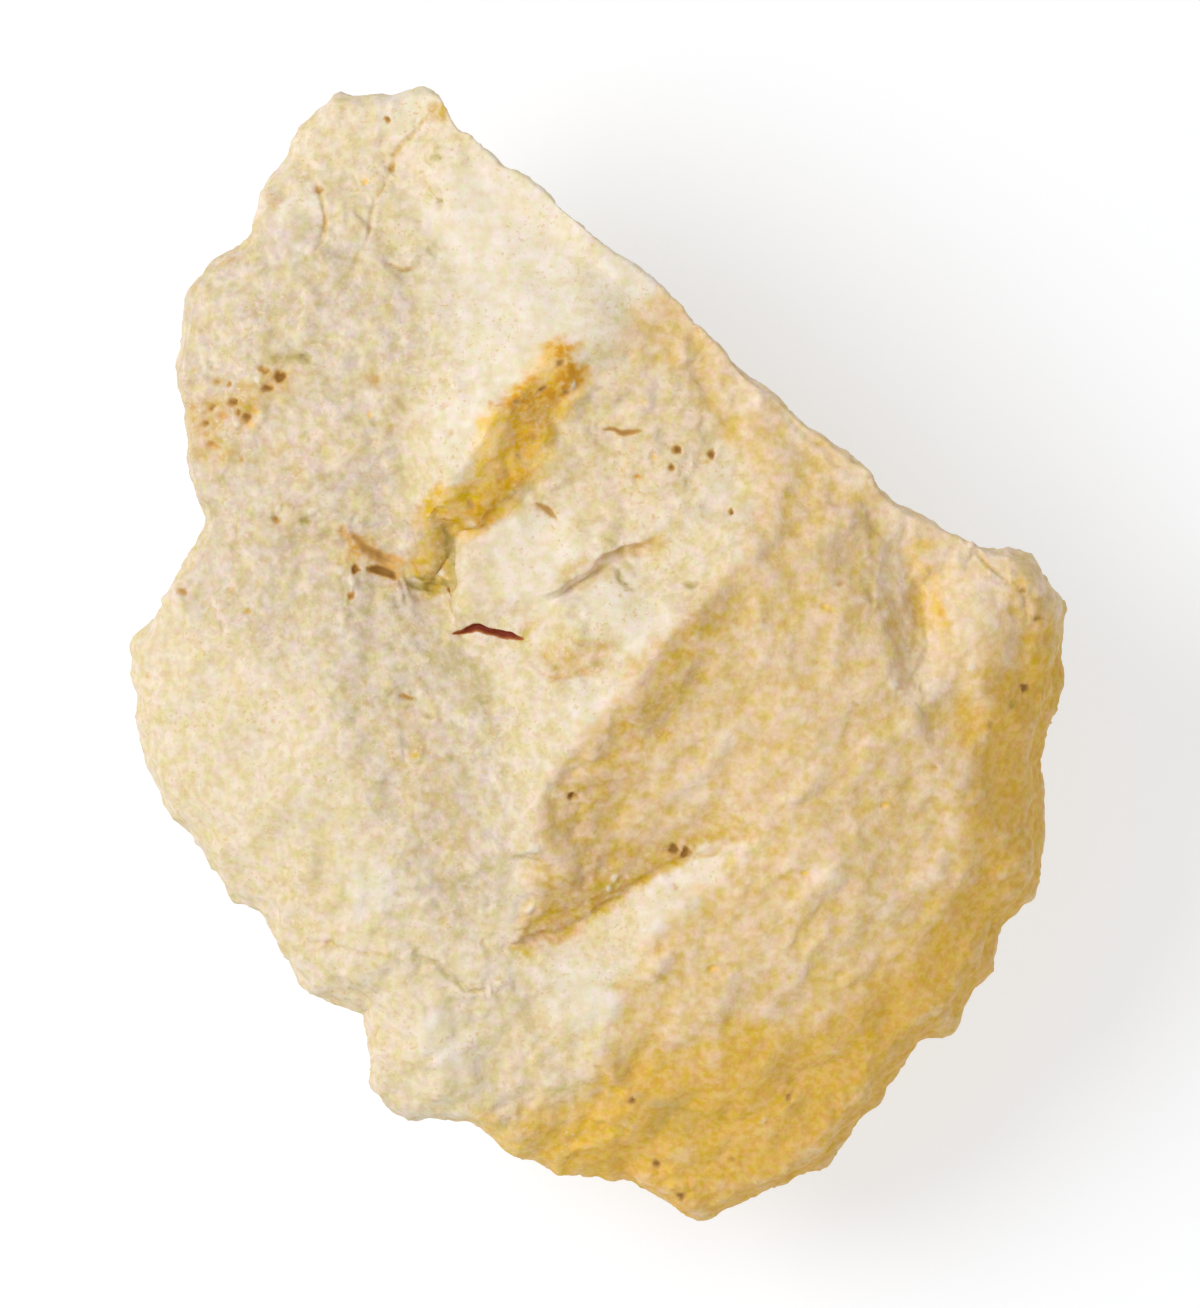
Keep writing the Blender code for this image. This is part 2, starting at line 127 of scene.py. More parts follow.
# cracks and crevices of the upper side: points in plan and width and depth in mm; the last entry is which
# dark colour lies in it and how strongly: brown, olive and red are markings of the stone, the darker tan is
# painted shade in the crevice
cracks = {
    "notch": {
        "points": ((-5.3, -17.5), (-3.2, -17.1), (-1.2, -16.3), (0.9, -14.9), (3.2, -13.4), (6.3, -12.1),
                   (9.3, -10.8)),
        "width": 0.34, "depth": 0.16, "markColour": ("paintedShadeAndSpeck", 1.0)},
    "splinter crevice": {
        "points": ((-1.0, 5.4), (0.2, 5.9), (1.25, 6.05), (2.45, 6.55), (4.1, 7.5)),
        "width": 0.40, "depth": 0.26, "markColour": ("paintedShadeAndSpeck", 1.0)},
    "crevice branch": {
        "points": ((1.15, 5.4), (1.5, 4.6), (2.1, 3.9)),
        "width": 0.30, "depth": 0.24, "markColour": ("olive", 0.9)},
    "splinter end": {
        "points": ((5.3, 4.3), (5.7, 4.2), (6.1, 4.4)),
        "width": 0.30, "depth": 0.26, "markColour": ("olive", 0.9)},
    "red crack": {
        "points": ((-8.7, 1.2), (-7.9, 1.5), (-7.1, 1.6), (-5.9, 1.3), (-4.6, 1.1)),
        "width": 0.31, "depth": 0.40, "markColour": ("red", 1.0)},
    # painted shadow: a dark olive line at the foot of the step, over the pit's own olive
    "step foot": {
        "points": ((-8.8, 7.3), (-8.75, 5.9), (-8.8, 4.6), (-8.9, 3.9)),
        "width": 0.26, "depth": 0.28, "markColour": ("olive", 0.9)},
    "tip fissure": {
        "points": ((-9.9, 32.9), (-11.2, 31.9), (-12.3, 30.6), (-12.6, 29.6)),
        "width": 0.24, "depth": 0.20, "markColour": ("paintedShadeAndSpeck", 0.7)},
    "long fissure": {
        "points": ((-12.6, 29.5), (-13.4, 27.5), (-14.0, 25.4), (-15.0, 23.4)),
        "width": 0.26, "depth": 0.16, "markColour": ("paintedShadeAndSpeck", 0.5)},
    "left fissure": {
        "points": ((-17.1, 28.5), (-16.6, 26.9), (-16.6, 25.5), (-17.2, 23.9)),
        "width": 0.26, "depth": 0.20, "markColour": ("paintedShadeAndSpeck", 0.7)},
    "flank line": {
        "points": ((-12.8, 23.8), (-11.8, 23.4), (-10.9, 23.7)),
        "width": 0.22, "depth": 0.18, "markColour": ("brown", 0.35)},
    "upper pit row": {
        "points": ((-14.9, 7.4), (-14.4, 6.8), (-13.6, 6.1), (-12.5, 5.6)),
        "width": 0.42, "depth": 0.24, "markColour": ("brown", 0.75)},
    "pit row foot": {
        "points": ((-13.8, 5.3), (-13.1, 5.2), (-12.4, 4.8)),
        "width": 0.36, "depth": 0.28, "markColour": ("brown", 1.4)},
    # the pit's own olive at its bottom, darkened further as painted shadow
    "lower pit row": {
        "points": ((-11.7, 4.7), (-10.6, 4.2), (-9.6, 4.1), (-8.9, 4.5)),
        "width": 0.36, "depth": 0.28, "markColour": ("olive", 1.0)},
    "shelf dash": {
        "points": ((0.4, 13.8), (1.4, 13.5), (2.7, 13.7)),
        "width": 0.28, "depth": 0.20, "markColour": ("brown", 0.8)},
    "left dash": {
        "points": ((-12.0, -2.4), (-11.1, -2.6)),
        "width": 0.22, "depth": 0.25, "markColour": ("brown", 0.7)},
    "low dash": {
        "points": ((-10.5, -3.6), (-9.7, -3.8)),
        "width": 0.20, "depth": 0.18, "markColour": ("olive", 0.7)},
    "curly crack": {
        "points": ((-11.1, -18.3), (-9.7, -18.7), (-8.9, -19.6), (-8.0, -20.3), (-6.9, -20.4)),
        "width": 0.28, "depth": 0.30, "markColour": ("olive", 0.6)},
    "low line": {
        "points": ((-18.3, -17.6), (-16.3, -17.7), (-14.1, -18.1), (-12.0, -18.4)),
        "width": 0.24, "depth": 0.18, "markColour": ("paintedShadeAndSpeck", 0.5)},
    "knob furrow": {
        "points": ((19.0, 6.2), (19.4, 3.4), (19.5, 0.6), (19.0, -2.4)),
        "width": 0.60, "depth": 0.04, "markColour": ("paintedShadeAndSpeck", 0.30)},
    "valley furrow": {
        "points": ((16.3, 8.6), (16.7, 5.6), (16.6, 2.8)),
        "width": 0.40, "depth": 0.05, "markColour": ("paintedShadeAndSpeck", 0.5)},
    "knob line": {
        "points": ((22.8, 6.5), (23.7, 5.5), (24.9, 4.7)),
        "width": 0.22, "depth": 0.22, "markColour": ("paintedShadeAndSpeck", 0.7)},
    "scoop foot": {
        "points": ((-3.7, -1.0), (-2.7, -1.4), (-1.3, -1.2), (0.2, -0.7), (0.9, -0.2)),
        "width": 0.32, "depth": 0.18, "markColour": ("paintedShadeAndSpeck", 1.0)},
    "wall crack": {
        "points": ((-3.7, 9.2), (-3.0, 8.9), (-2.4, 8.3)),
        "width": 0.30, "depth": 0.22, "markColour": ("brown", 0.6)},
}

# ledges: the ground on the left of the line's way steps down by drop mm, over a width of reach mm
ledges = {
    "plate edge": {
        "points": ((-15.1, -5.6), (-16.0, -4.4), (-16.8, -2.9), (-17.7, -1.6), (-19.1, -0.5), (-20.5, 0.2),
                   (-22.5, 1.0)),
        "drop": 0.30, "reach": 1.6},
    "rim strip": {
        "points": ((6.3, 19.9), (8.7, 17.3), (11.7, 14.1), (14.8, 11.3), (17.2, 9.5)),
        "drop": 0.25, "reach": 1.0},
}

# single pits and crumbs: x, y, radius, depth (less than 0 stands up), mm, the colour in it and how strongly:
# markings of the stone, pale for crumbs, and the darker tan as painted shade in the pit
pits = (
    (-19.3, 16.9, 0.50, 0.30, "brown", 1.50), (-17.7, 18.1, 0.44, 0.24, "olive", 1.00),
    (-19.5, 18.1, 0.44, 0.18, "olive", 0.80), (-19.7, 19.4, 0.44, 0.15, "olive", 0.57),
    (-20.0, 16.2, 0.39, 0.21, "brown", 0.92), (-20.4, 17.5, 0.34, 0.19, "brown", 0.69),
    (-22.2, 15.4, 0.39, 0.21, "brown", 0.98), (-21.5, 14.4, 0.44, 0.24, "brown", 0.98),
    (-23.5, 15.1, 0.34, 0.19, "brown", 0.80), (-23.9, 14.1, 0.36, 0.20, "brown", 0.92),
    (-22.7, 14.6, 0.34, 0.18, "rust", 0.80), (-21.0, 14.8, 0.36, 0.14, "ochre", 1.00),
    (-23.5, 12.8, 0.36, 0.18, "brown", 0.57), (-21.7, 12.0, 0.34, 0.14, "brown", 0.40),
    (-23.1, 16.6, 0.34, 0.15, "brown", 0.52), (-24.4, 17.4, 0.34, 0.14, "paintedShadeAndSpeck", 0.92),
    (-17.1, 28.4, 0.39, 0.20, "brown", 0.57), (-12.9, 32.6, 0.34, 0.19, "brown", 0.92),
    (-9.6, 30.2, 0.34, 0.13, "olive", 0.90), (-9.5, 27.4, 0.34, 0.13, "olive", 0.90),
    (-12.5, 29.8, 0.34, 0.17, "brown", 0.52), (-14.2, 28.8, 0.34, 0.13, "ochre", 1.00),
    (-10.1, 24.6, 0.36, 0.13, "olive", 1.00), (-13.5, 16.7, 0.36, 0.15, "brown", 0.40),
    (-13.8, 14.5, 0.34, 0.14, "ochre", 0.92), (-9.4, 15.1, 0.34, 0.10, "paintedShadeAndSpeck", 0.69),
    (-9.0, 13.4, 0.34, 0.10, "paintedShadeAndSpeck", 0.69), (-19.4, 8.3, 0.34, 0.19, "brown", 0.57),
    (-17.7, 8.1, 0.41, 0.23, "olive", 1.00), (-15.0, 3.8, 0.34, 0.19, "brown", 0.92),
    (-12.4, 4.9, 0.34, 0.19, "brown", 1.00), (-21.3, 2.6, 0.34, 0.19, "paintedShadeAndSpeck", 1.00),
    (-22.4, 4.1, 0.34, 0.17, "paintedShadeAndSpeck", 1.00), (-25.1, 3.8, 0.34, 0.17, "brown", 0.57),
    (-12.1, 3.1, 0.34, 0.15, "olive", 0.57), (-11.0, -6.0, 0.34, 0.14, "ochre", 0.57),
    (4.8, 12.5, 0.34, 0.19, "brown", 1.20), (4.4, 11.4, 0.34, 0.18, "brown", 1.00),
    (6.9, 12.2, 0.32, 0.19, "brown", 1.20), (2.5, 10.8, 0.34, 0.13, "rust", 1.00),
    (3.4, 12.0, 0.34, 0.13, "ochre", 1.00), (-1.7, -8.6, 0.36, 0.19, "brown", 1.30),
    (4.5, -11.8, 0.40, 0.20, "brown", 1.40), (5.3, -12.0, 0.42, 0.20, "brown", 1.40),
    (2.1, -27.3, 0.34, 0.19, "brown", 1.00), (3.6, -31.2, 0.34, 0.19, "brown", 1.00),
    (5.1, -32.9, 0.34, 0.19, "brown", 1.00), (7.0, -19.0, 0.34, 0.14, "ochre", 0.92),
    (12.6, -13.2, 0.34, 0.14, "ochre", 0.80), (17.3, -9.1, 0.34, 0.14, "ochre", 0.80),
    (11.6, -27.1, 0.34, 0.15, "brown", 0.57), (26.0, -2.0, 0.34, 0.17, "brown", 0.92),
    (25.2, -2.9, 0.34, 0.14, "olive", 0.69), (23.8, -4.2, 0.34, 0.13, "brown", 0.46),
    (8.4, -30.9, 0.34, 0.15, "brown", 0.46), (13.8, 3.0, 0.34, 0.14, "ochre", 0.69),
    (-6.9, -2.9, 0.34, 0.14, "olive", 0.80), (-11.6, 0.3, 0.34, 0.14, "olive", 0.57),
    (-14.6, 5.25, 0.36, 0.22, "brown", 1.60), (-9.3, 4.0, 0.34, 0.20, "brown", 1.30),
    (-20.1, 17.3, 0.30, 0.16, "brown", 0.80), (-20.0, 16.3, 0.34, 0.14, "rust", 1.00),
    (-22.5, 16.5, 0.30, 0.14, "brown", 0.70), (-23.4, 12.7, 0.34, 0.12, "rust", 0.90),
    (-21.9, 14.8, 0.30, 0.16, "brown", 0.90), (-21.3, 13.9, 0.34, 0.12, "ochre", 1.00),
    (-2.3, 17.6, 0.32, 0.15, "brown", 0.70), (-3.3, 16.2, 0.34, 0.15, "brown", 0.80),
    (-1.9, 16.0, 0.28, 0.14, "brown", 0.50), (-4.9, 15.3, 0.28, 0.13, "brown", 0.60),
    (-3.9, 13.2, 0.32, 0.10, "brown", 0.35), (-4.7, 12.1, 0.30, 0.10, "brown", 0.35),
    (-5.3, 10.9, 0.38, 0.12, "rust", 0.90), (-6.7, 8.5, 0.42, 0.14, "rust", 1.00),
    (-7.6, 9.2, 0.34, 0.12, "brown", 0.40), (-9.6, 8.6, 0.34, 0.12, "rust", 0.60),
    (8.0, 8.7, 0.30, 0.16, "brown", 0.90), (20.8, 2.7, 0.40, 0.10, "rust", 0.60),
    (25.8, 3.9, 0.36, 0.14, "brown", 0.60), (26.7, 2.3, 0.36, 0.14, "brown", 0.55),
    (-20.7, 16.9, 0.34, -0.14, "crumb", 1.00), (-22.0, 14.1, 0.30, -0.12, "crumb", 0.80),
    (-15.6, 5.2, 0.40, -0.14, "crumb", 1.00), (-11.6, 6.7, 0.30, -0.12, "crumb", 0.60),
    (-12.0, 6.6, 0.26, -0.10, "crumb", 0.60),
    (-14.9, 4.6, 0.36, -0.12, "crumb", 0.90), (-19.3, 9.1, 0.30, -0.12, "crumb", 1.00),
    (-17.3, 8.8, 0.32, -0.12, "crumb", 1.00), (0.6, -13.9, 0.34, -0.14, "crumb", 1.00),
    (1.0, -13.3, 0.28, -0.12, "crumb", 0.90), (-3.9, -11.6, 0.40, -0.12, "crumb", 1.00),
    (-4.1, -15.4, 0.40, -0.12, "crumb", 0.90), (1.4, 13.1, 0.34, -0.14, "crumb", 1.00),
    (2.9, 12.0, 0.30, -0.12, "crumb", 0.90), (-1.5, 16.4, 0.32, -0.12, "crumb", 0.80),
    (-9.4, 5.0, 0.36, -0.12, "crumb", 0.80), (5.7, 11.7, 0.30, -0.12, "crumb", 0.70),
    (17.9, -1.7, 0.40, -0.12, "crumb", 0.80), (22.7, -0.6, 0.40, -0.10, "crumb", 0.70),
)

# dark pits and pale crumbs, scattered, most of them on the left
specks = {
    "seed": 7,
    "pits": 150,
    "crumbs": 160,
    "halfWidth": 29,         # mm, how far from the middle they may lie
    "halfLength": 35,
    "radius": (0.22, 0.42),  # mm
    "depth": 0.14,           # mm
    "height": 0.12,          # mm
    "strength": (0.10, 0.45),
    # the darker tan among these is painted shade in the small pits
    "stainsAndShade": ("brown", "olive", "paintedShadeAndSpeck", "ochre"),
    "shares": (0.30, 0.25, 0.25, 0.20),
    "crowdedTo": -5,         # mm; to the right of this only a share of them is kept
    "kept": 0.4,
}

# soft crests on the right face: points, width and height, mm
welts = (
    (((3.5, -8.9), (5.2, -7.9), (6.6, -6.6), (7.8, -4.2)), 1.3, 0.38),
    (((11.1, -9.1), (12.2, -8.2), (13.6, -6.6)), 1.0, 0.29),
    (((12.0, -15.5), (13.6, -13.7), (15.4, -12.1)), 1.0, 0.31),
    (((18.5, -1.5), (19.6, -2.4), (20.6, -2.5)), 0.7, 0.24),
    (((17.5, -6.6), (18.2, -7.8), (18.1, -9.4)), 0.7, 0.24),
    (((23.3, -7.0), (22.7, -9.4)), 0.7, 0.24),
    (((4.8, -17.4), (4.3, -18.6), (3.1, -20.2)), 0.8, 0.31),
    (((14.2, -16.1), (13.0, -17.8), (11.4, -19.4)), 0.8, 0.24),
    (((21.0, -11.8), (20.0, -14.4)), 0.8, 0.24),
    (((9.2, -1.2), (10.4, 0.6), (12.2, 1.4)), 1.0, 0.19),
    (((9.6, -14.4), (11.3, -12.2), (13.2, -10.9)), 1.1, 0.22),
    (((2.4, -20.6), (3.6, -19.0), (4.8, -18.2)), 1.0, 0.21),
    (((6.2, -21.0), (8.0, -19.0), (9.6, -18.0)), 1.1, 0.21),
    (((8.2, 4.8), (9.6, 6.6), (10.6, 8.8)), 1.1, 0.18),
    (((16.0, -18.4), (14.2, -20.6)), 0.8, 0.24),
)


def carvedGap(middle):
    # how far a place lies from the nearest crack's or pit's border, less than 0 inside
    gap = np.full(len(middle), farAway)
    for crack in cracks.values():
        gap = np.minimum(gap, distanceTo(crack["points"], middle[:, :2])[0] - crack["width"])
    for x, y, radius, *rest in pits:
        gap = np.minimum(gap, np.hypot(middle[:, 0] - x, middle[:, 1] - y) - radius)
    return gap


def refine(bm, carved):
    # halve the long edges; the upper side gets short ones, and the cracks and pits the shortest
    for step in range(skin["rounds"]):
        bm.normal_update()
        ends = np.array([(*e.verts[0].co, *e.verts[1].co) for e in bm.edges]) / mm
        upward = np.array([max(face.normal.z for face in e.link_faces) for e in bm.edges])
        limit = np.where(upward > skin["upperTilt"], skin["upperEdge"], skin["underEdge"])
        if carved:
            gap = np.where(upward > 0, carvedGap((ends[:, :3] + ends[:, 3:]) / 2), farAway)
            limit[gap < 2 * skin["reach"]] = skin["besideEdge"]
            limit[gap < skin["reach"]] = skin["carvedEdge"]
        tooLong = np.linalg.norm(ends[:, :3] - ends[:, 3:], axis=1) > limit
        longEdges = [e for e, chosen in zip(bm.edges, tooLong) if chosen]
        bmesh.ops.subdivide_edges(bm, edges=longEdges, cuts=1)
        wide = [f for f in bm.faces if len(f.verts) > 3]
        bmesh.ops.triangulate(bm, faces=wide, quad_method="SHORT_EDGE", ngon_method="EAR_CLIP")


def divide(mesh, carved=False):
    bm = bmesh.new()
    bm.from_mesh(mesh)
    bmesh.ops.remove_doubles(bm, verts=bm.verts, dist=skin["joinDistance"] * mm)
    refine(bm, carved)
    bm.to_mesh(mesh)
    bm.free()


def fineCopy():
    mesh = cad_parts[skin["node"]].data.copy()
    divide(mesh)
    piece = bpy.data.objects.new("stone_skin", mesh)
    bpy.context.scene.collection.objects.link(piece)
    return piece


def sumBy(index, values, count):
    # sum of the rows of values that share an index
    return np.stack([np.bincount(index, values[:, k], count) for k in range(3)], 1)


def corners(mesh):
    tri = np.zeros(len(mesh.polygons) * 3, np.int32)
    mesh.polygons.foreach_get("vertices", tri)
    return tri.reshape(-1, 3)


def evenOut(piece):
    # turn each face's normal towards its neighbours', except across edges, and move the points to suit
    mesh = piece.data
    co, no = readMesh(mesh)
    tri = corners(mesh)
    sides = np.sort(np.concatenate([tri[:, [0, 1]], tri[:, [1, 2]], tri[:, [2, 0]]]), axis=1)
    owner = np.tile(np.arange(len(tri)), 3)
    order = np.lexsort((sides[:, 1], sides[:, 0]))
    a, b = owner[order[0::2]], owner[order[1::2]]
    one, two = np.concatenate([a, b]), np.concatenate([b, a])
    cross = np.cross(co[tri[:, 1]] - co[tri[:, 0]], co[tri[:, 2]] - co[tri[:, 0]])
    area = np.linalg.norm(cross, axis=1)
    flat = unit(cross)
    for step in range(crispness["normalPasses"]):
        gap = np.sum((flat[one] - flat[two]) ** 2, axis=1)
        weight = area[two] * np.exp(-gap / (2 * crispness["tolerance"] ** 2))
        flat = unit(sumBy(one, flat[two] * weight[:, None], len(tri)) + flat * area[:, None])
    corner, face = tri.ravel(), np.repeat(np.arange(len(tri)), 3)
    share = np.bincount(corner, minlength=len(co))[:, None]
    for step in range(crispness["movePasses"]):
        centre = co[tri].mean(1)
        push = np.sum(flat[face] * (centre[face] - co[corner]), axis=1)
        co += sumBy(corner, flat[face] * push[:, None], len(co)) / share
    writeMesh(mesh, co)


spotBorder = (1.15, 0.6)     # shares of a round spot's radius where it begins and is full


def spread(spots, at):
    # how much of a point lies in a group of round spots: x, y, radius
    total = np.zeros(len(at))
    for x, y, radius in spots:
        gap = np.hypot(at[:, 0] - x, at[:, 1] - y)
        total = np.maximum(total, smoothstep(radius * spotBorder[0], radius * spotBorder[1], gap))
    return total


# places where the solid's folds are too straight for a broken stone: x, y, radius, mm
softened = {
    "spots": ((-6.2, 3.5, 1.3), (-4.6, 3.5, 1.3), (3.9, 7.0, 1.0), (-8.6, 3.6, 0.8)),
    "passes": 14,
}


def neighbours(mesh):
    # both ends of every edge, both ways round, and how many edges each point has
    ends = np.zeros(len(mesh.edges) * 2, np.int32)
    mesh.edges.foreach_get("vertices", ends)
    one, two = ends.reshape(-1, 2).T
    here, there = np.concatenate([one, two]), np.concatenate([two, one])
    return here, there, np.bincount(here, minlength=len(mesh.vertices))[:, None]


def soften(piece):
    mesh = piece.data
    co, no = readMesh(mesh)
    here, there, count = neighbours(mesh)
    amount = (spread(softened["spots"], co) * (no[:, 2] > 0))[:, None]
    for step in range(softened["passes"]):
        co += (sumBy(here, co[there], len(co)) / count - co) * amount
    writeMesh(mesh, co)


# unfolding the faces that the relief turns over
untangling = {
    "rounds": 40,
    "tilt": 0.30,            # faces that keep less of their old direction than this have folded over
    "beside": 0.5,           # how much the points next to them move too
}


def untangle(mesh, co, facing):
    # smooth the places where faces have folded over, until none or few are left
    tri = corners(mesh)
    here, there, count = neighbours(mesh)
    old = unit(facing[tri].sum(1))
    for step in range(untangling["rounds"]):
        new = unit(np.cross(co[tri[:, 1]] - co[tri[:, 0]], co[tri[:, 2]] - co[tri[:, 0]]))
        folded = np.sum(new * old, axis=1) < untangling["tilt"]
        if not folded.any():
            break
        amount = np.zeros(len(co))
        amount[tri[folded].ravel()] = 1
        around = amount.copy()
        np.maximum.at(around, here, amount[there] * untangling["beside"])
        co += (sumBy(here, co[there], len(co)) / count - co) * around[:, None]
    print("folded faces left:", int(folded.sum()))


# the grain of each kind of ground: size and depth in mm, and the way it leans, as in fractal
relief = {
    "waves": {"size": 4.5, "depth": 0.22, "octaves": 2, "shift": 2.0},    # soft swells everywhere
    "smooth": {"size": 2.0, "depth": 0.09, "octaves": 3, "shift": 11.0},
    "flow": {"size": 1.1, "depth": 0.34, "octaves": 3, "shift": 23.0, "lean": (-60, 1.6)},
    "right": {"size": 2.0, "depth": 0.24, "octaves": 3, "shift": 37.0, "lean": (50, 2.0)},
    "left": {"size": 1.7, "depth": 0.34, "octaves": 4, "shift": 51.0, "lean": (-70, 1.2)},
    "broken": {"size": 3.4, "depth": 0.675, "octaves": 4, "shift": 67.0},    # sides and underside
    "crumbs": {"size": 0.6, "depth": 0.06, "octaves": 2, "shift": 83.0},
}
calmShare = 0.6          # share of the crumbs that smooth ground and the right face do without

# where each kind of ground lies on the upper side, mm: x, y, radius
grounds = {
    "smooth": ((-5.5, 25.0, 6.0), (-5.0, 20.0, 5.5), (1.0, 22.5, 5.0), (-9.5, 13.0, 2.6), (-6.0, 5.4, 3.0),
               (-2.0, 7.2, 2.6), (1.0, 4.0, 2.4), (5.5, 5.5, 2.8), (2.6, 0.8, 2.4), (-1.5, -3.6, 2.0),
               (0.5, -18.0, 4.2), (4.5, -14.5, 2.8), (-22.5, -6.0, 5.5), (-18.0, -6.5, 3.6),
               (12.0, 13.0, 3.0)),
    "flow": ((-14.5, 2.5, 4.5), (-11.5, -1.5, 4.5), (-8.5, -6.0, 4.2), (-8.0, -10.5, 4.0), (-9.0, -15.0, 3.6),
             (-6.0, -18.5, 3.4), (-17.5, 6.5, 4.0)),
    "right": ((12.0, 0.0, 9.0), (18.0, -8.0, 10.0), (13.0, -18.0, 9.0), (6.0, -7.0, 5.5), (21.0, -2.0, 6.0),
              (8.0, -25.0, 7.0), (16.0, 6.0, 5.0), (8.5, 10.5, 3.5)),
}

# how borders and places wander: size and swing of the noise, mm
wanders = {
    "cracks": {"size": 1.2, "swing": 0.14, "shift": 71.0},
    "pits": {"size": 0.5, "swing": 0.17, "shift": 43.0},
    "welts": {"size": 1.5, "swing": 0.7, "shift": 97.0},
    "grounds": {"size": 2.5, "swing": 0.9, "shift": 3.0},
    "points": {"size": 2.0, "swing": 0.20, "shift": 7.0, "octaves": 2},
    "colours": {"size": 1.6, "swing": 0.8, "shift": 53.0},
    "rind": {"size": 3.5, "swing": 1.6, "shift": 59.0},
}
axisShifts = (0, 13.7, 29.1)     # the three axes wander apart


def bent(co, name):
    # places pushed about, so that a border drawn at them wanders
    kind = wanders[name]
    count = kind.get("octaves", octaves["usual"])
    pushes = [fractal(co, kind["size"], count, kind["shift"] + more) for more in axisShifts]
    return co + np.stack(pushes, 1) * kind["swing"]


def layer(name, co):
    kind = relief[name]
    return kind["depth"] * fractal(co, kind["size"], kind["octaves"], kind["shift"], kind.get("lean"))


def scattered():
    # small dark pits and pale crumbs, in the way that the single pits are listed
    draw = np.random.default_rng(specks["seed"])
    places = []
    for number in range(specks["pits"] + specks["crumbs"]):
        x = draw.uniform(-specks["halfWidth"], specks["halfWidth"])
        y = draw.uniform(-specks["halfLength"], specks["halfLength"])
        radius = draw.uniform(*specks["radius"])
        strength = draw.uniform(*specks["strength"])
        markColour = str(draw.choice(specks["stainsAndShade"], p=specks["shares"]))
        keep = draw.random() < (1.0 if x < specks["crowdedTo"] else specks["kept"])
        if keep and number < specks["pits"]:
            places.append((x, y, radius, specks["depth"], markColour, strength))
        elif keep:
            places.append((x, y, radius, -specks["height"], "crumb", strength))
    return tuple(places)


# the stone's markings, the pale crumbs, and the darker tan of painted shade
stainAndShadeNames = ("brown", "red", "olive", "ochre", "gold", "paintedShadeAndSpeck", "rust", "crumb")

carving = {
    "crackEnds": 0.03,       # share of its taper that a crack goes without at each end
    "crackNarrow": 0.3,      # how wide it still is there
    "crackStainAndShade": 0.6,       # less than 1 lets the crack's dark colour reach further out than the depth
    "ledgeEnds": 0.02,
    "pitEdge": 1.15,         # share of a pit's radius where it begins
    "markEdge": 1.10,        # where its colour begins
    "markCore": 0.15,        # where its colour is full
}


def carveCracks(at, above, lift, stainsAndShade):
    ends, narrow = carving["crackEnds"], carving["crackNarrow"]
    for crack in cracks.values():
        gap, share = distanceTo(crack["points"], at)
        taper = np.sqrt(np.clip(np.sin(math.pi * (ends + (1 - 2 * ends) * share)), 0, 1))
        inside = smoothstep(crack["width"] * (narrow + (1 - narrow) * taper), 0, gap) * taper * above
        lift -= crack["depth"] * inside
        markColour, strength = crack["markColour"]
        stainsAndShade[markColour] = np.maximum(stainsAndShade[markColour], strength * inside ** carving["crackStainAndShade"])


def stepLedges(at, above, lift):
    ends = carving["ledgeEnds"]
    for ledge in ledges.values():
        line = np.array(ledge["points"], float)
        gap, share = distanceTo(line, at)
        i = np.clip((share * (len(line) - 1)).astype(int), 0, len(line) - 2)
        ahead = line[i + 1] - line[i]
        away = at - line[i]
        left = np.sign(ahead[:, 0] * away[:, 1] - ahead[:, 1] * away[:, 0])
        fade = smoothstep(ledge["reach"], 0, gap) * np.sin(math.pi * np.clip(share, ends, 1 - ends))
        lift -= ledge["drop"] * (1 + left) / 2 * fade * above


def raiseWelts(at, above, lift):
    for points, width, height in welts:
        gap, share = distanceTo(points, at)
        lift += height * smoothstep(width, 0, gap) * np.sin(math.pi * np.clip(share, 0, 1)) * above


def carvePits(at, above, lift, stainsAndShade):
    for x, y, radius, depth, markColour, strength in pits + scattered():
        gap = np.hypot(at[:, 0] - x, at[:, 1] - y)
        lift -= depth * smoothstep(carving["pitEdge"] * radius, 0, gap) * above
        mark = smoothstep(carving["markEdge"] * radius, carving["markCore"] * radius, gap) * above
        stainsAndShade[markColour] = np.maximum(stainsAndShade[markColour], strength * mark)


def carve(co, above):
    # how far each point moves for cracks, ledges, crests, pits and crumbs, mm, and the stains in them
    lift = np.zeros(len(co))
    stainsAndShade = {name: np.zeros(len(co)) for name in stainAndShadeNames}
    wander = bent(co, "cracks")[:, :2]
    carveCracks(wander, above, lift, stainsAndShade)
    stepLedges(wander, above, lift)
    raiseWelts(bent(co, "welts")[:, :2], above, lift)
    carvePits(bent(co, "pits")[:, :2], above, lift, stainsAndShade)
    return lift, stainsAndShade


def roughen(piece):
    # the relief: soft swells, then each ground's own grain, then what is carved
    mesh = piece.data
    co, no = readMesh(mesh)
    above = smoothstep(*skin["above"], no[:, 2])
    wander = bent(co, "grounds")
    smooth = spread(grounds["smooth"], wander) * above
    flow = spread(grounds["flow"], wander) * above * (1 - smooth)
    right = spread(grounds["right"], wander) * above * (1 - smooth) * (1 - flow)
    left = above * (1 - smooth) * (1 - flow) * (1 - right)
    lift = layer("waves", co)
    lift += layer("smooth", co) * smooth
    lift += np.abs(layer("flow", wander)) * flow
    lift += layer("right", wander) * right
    lift += layer("left", wander) * left
    lift -= (np.abs(layer("broken", wander)) + skin["recess"]) * (1 - above)
    lift += layer("crumbs", co) * (1 - calmShare * (smooth + right))
    cut, stainsAndShade = carve(co, above)
    lift = (lift + cut) * smoothstep(0, skin["restFade"], co[:, 2])
    sway = (bent(co, "points") - co) * above[:, None]
    co += no * lift[:, None] + sway * (1, 1, 0)
    untangle(mesh, co, no)
    co[:, 2] = np.maximum(co[:, 2], 0)
    writeMesh(mesh, co)
    return above, stainsAndShade


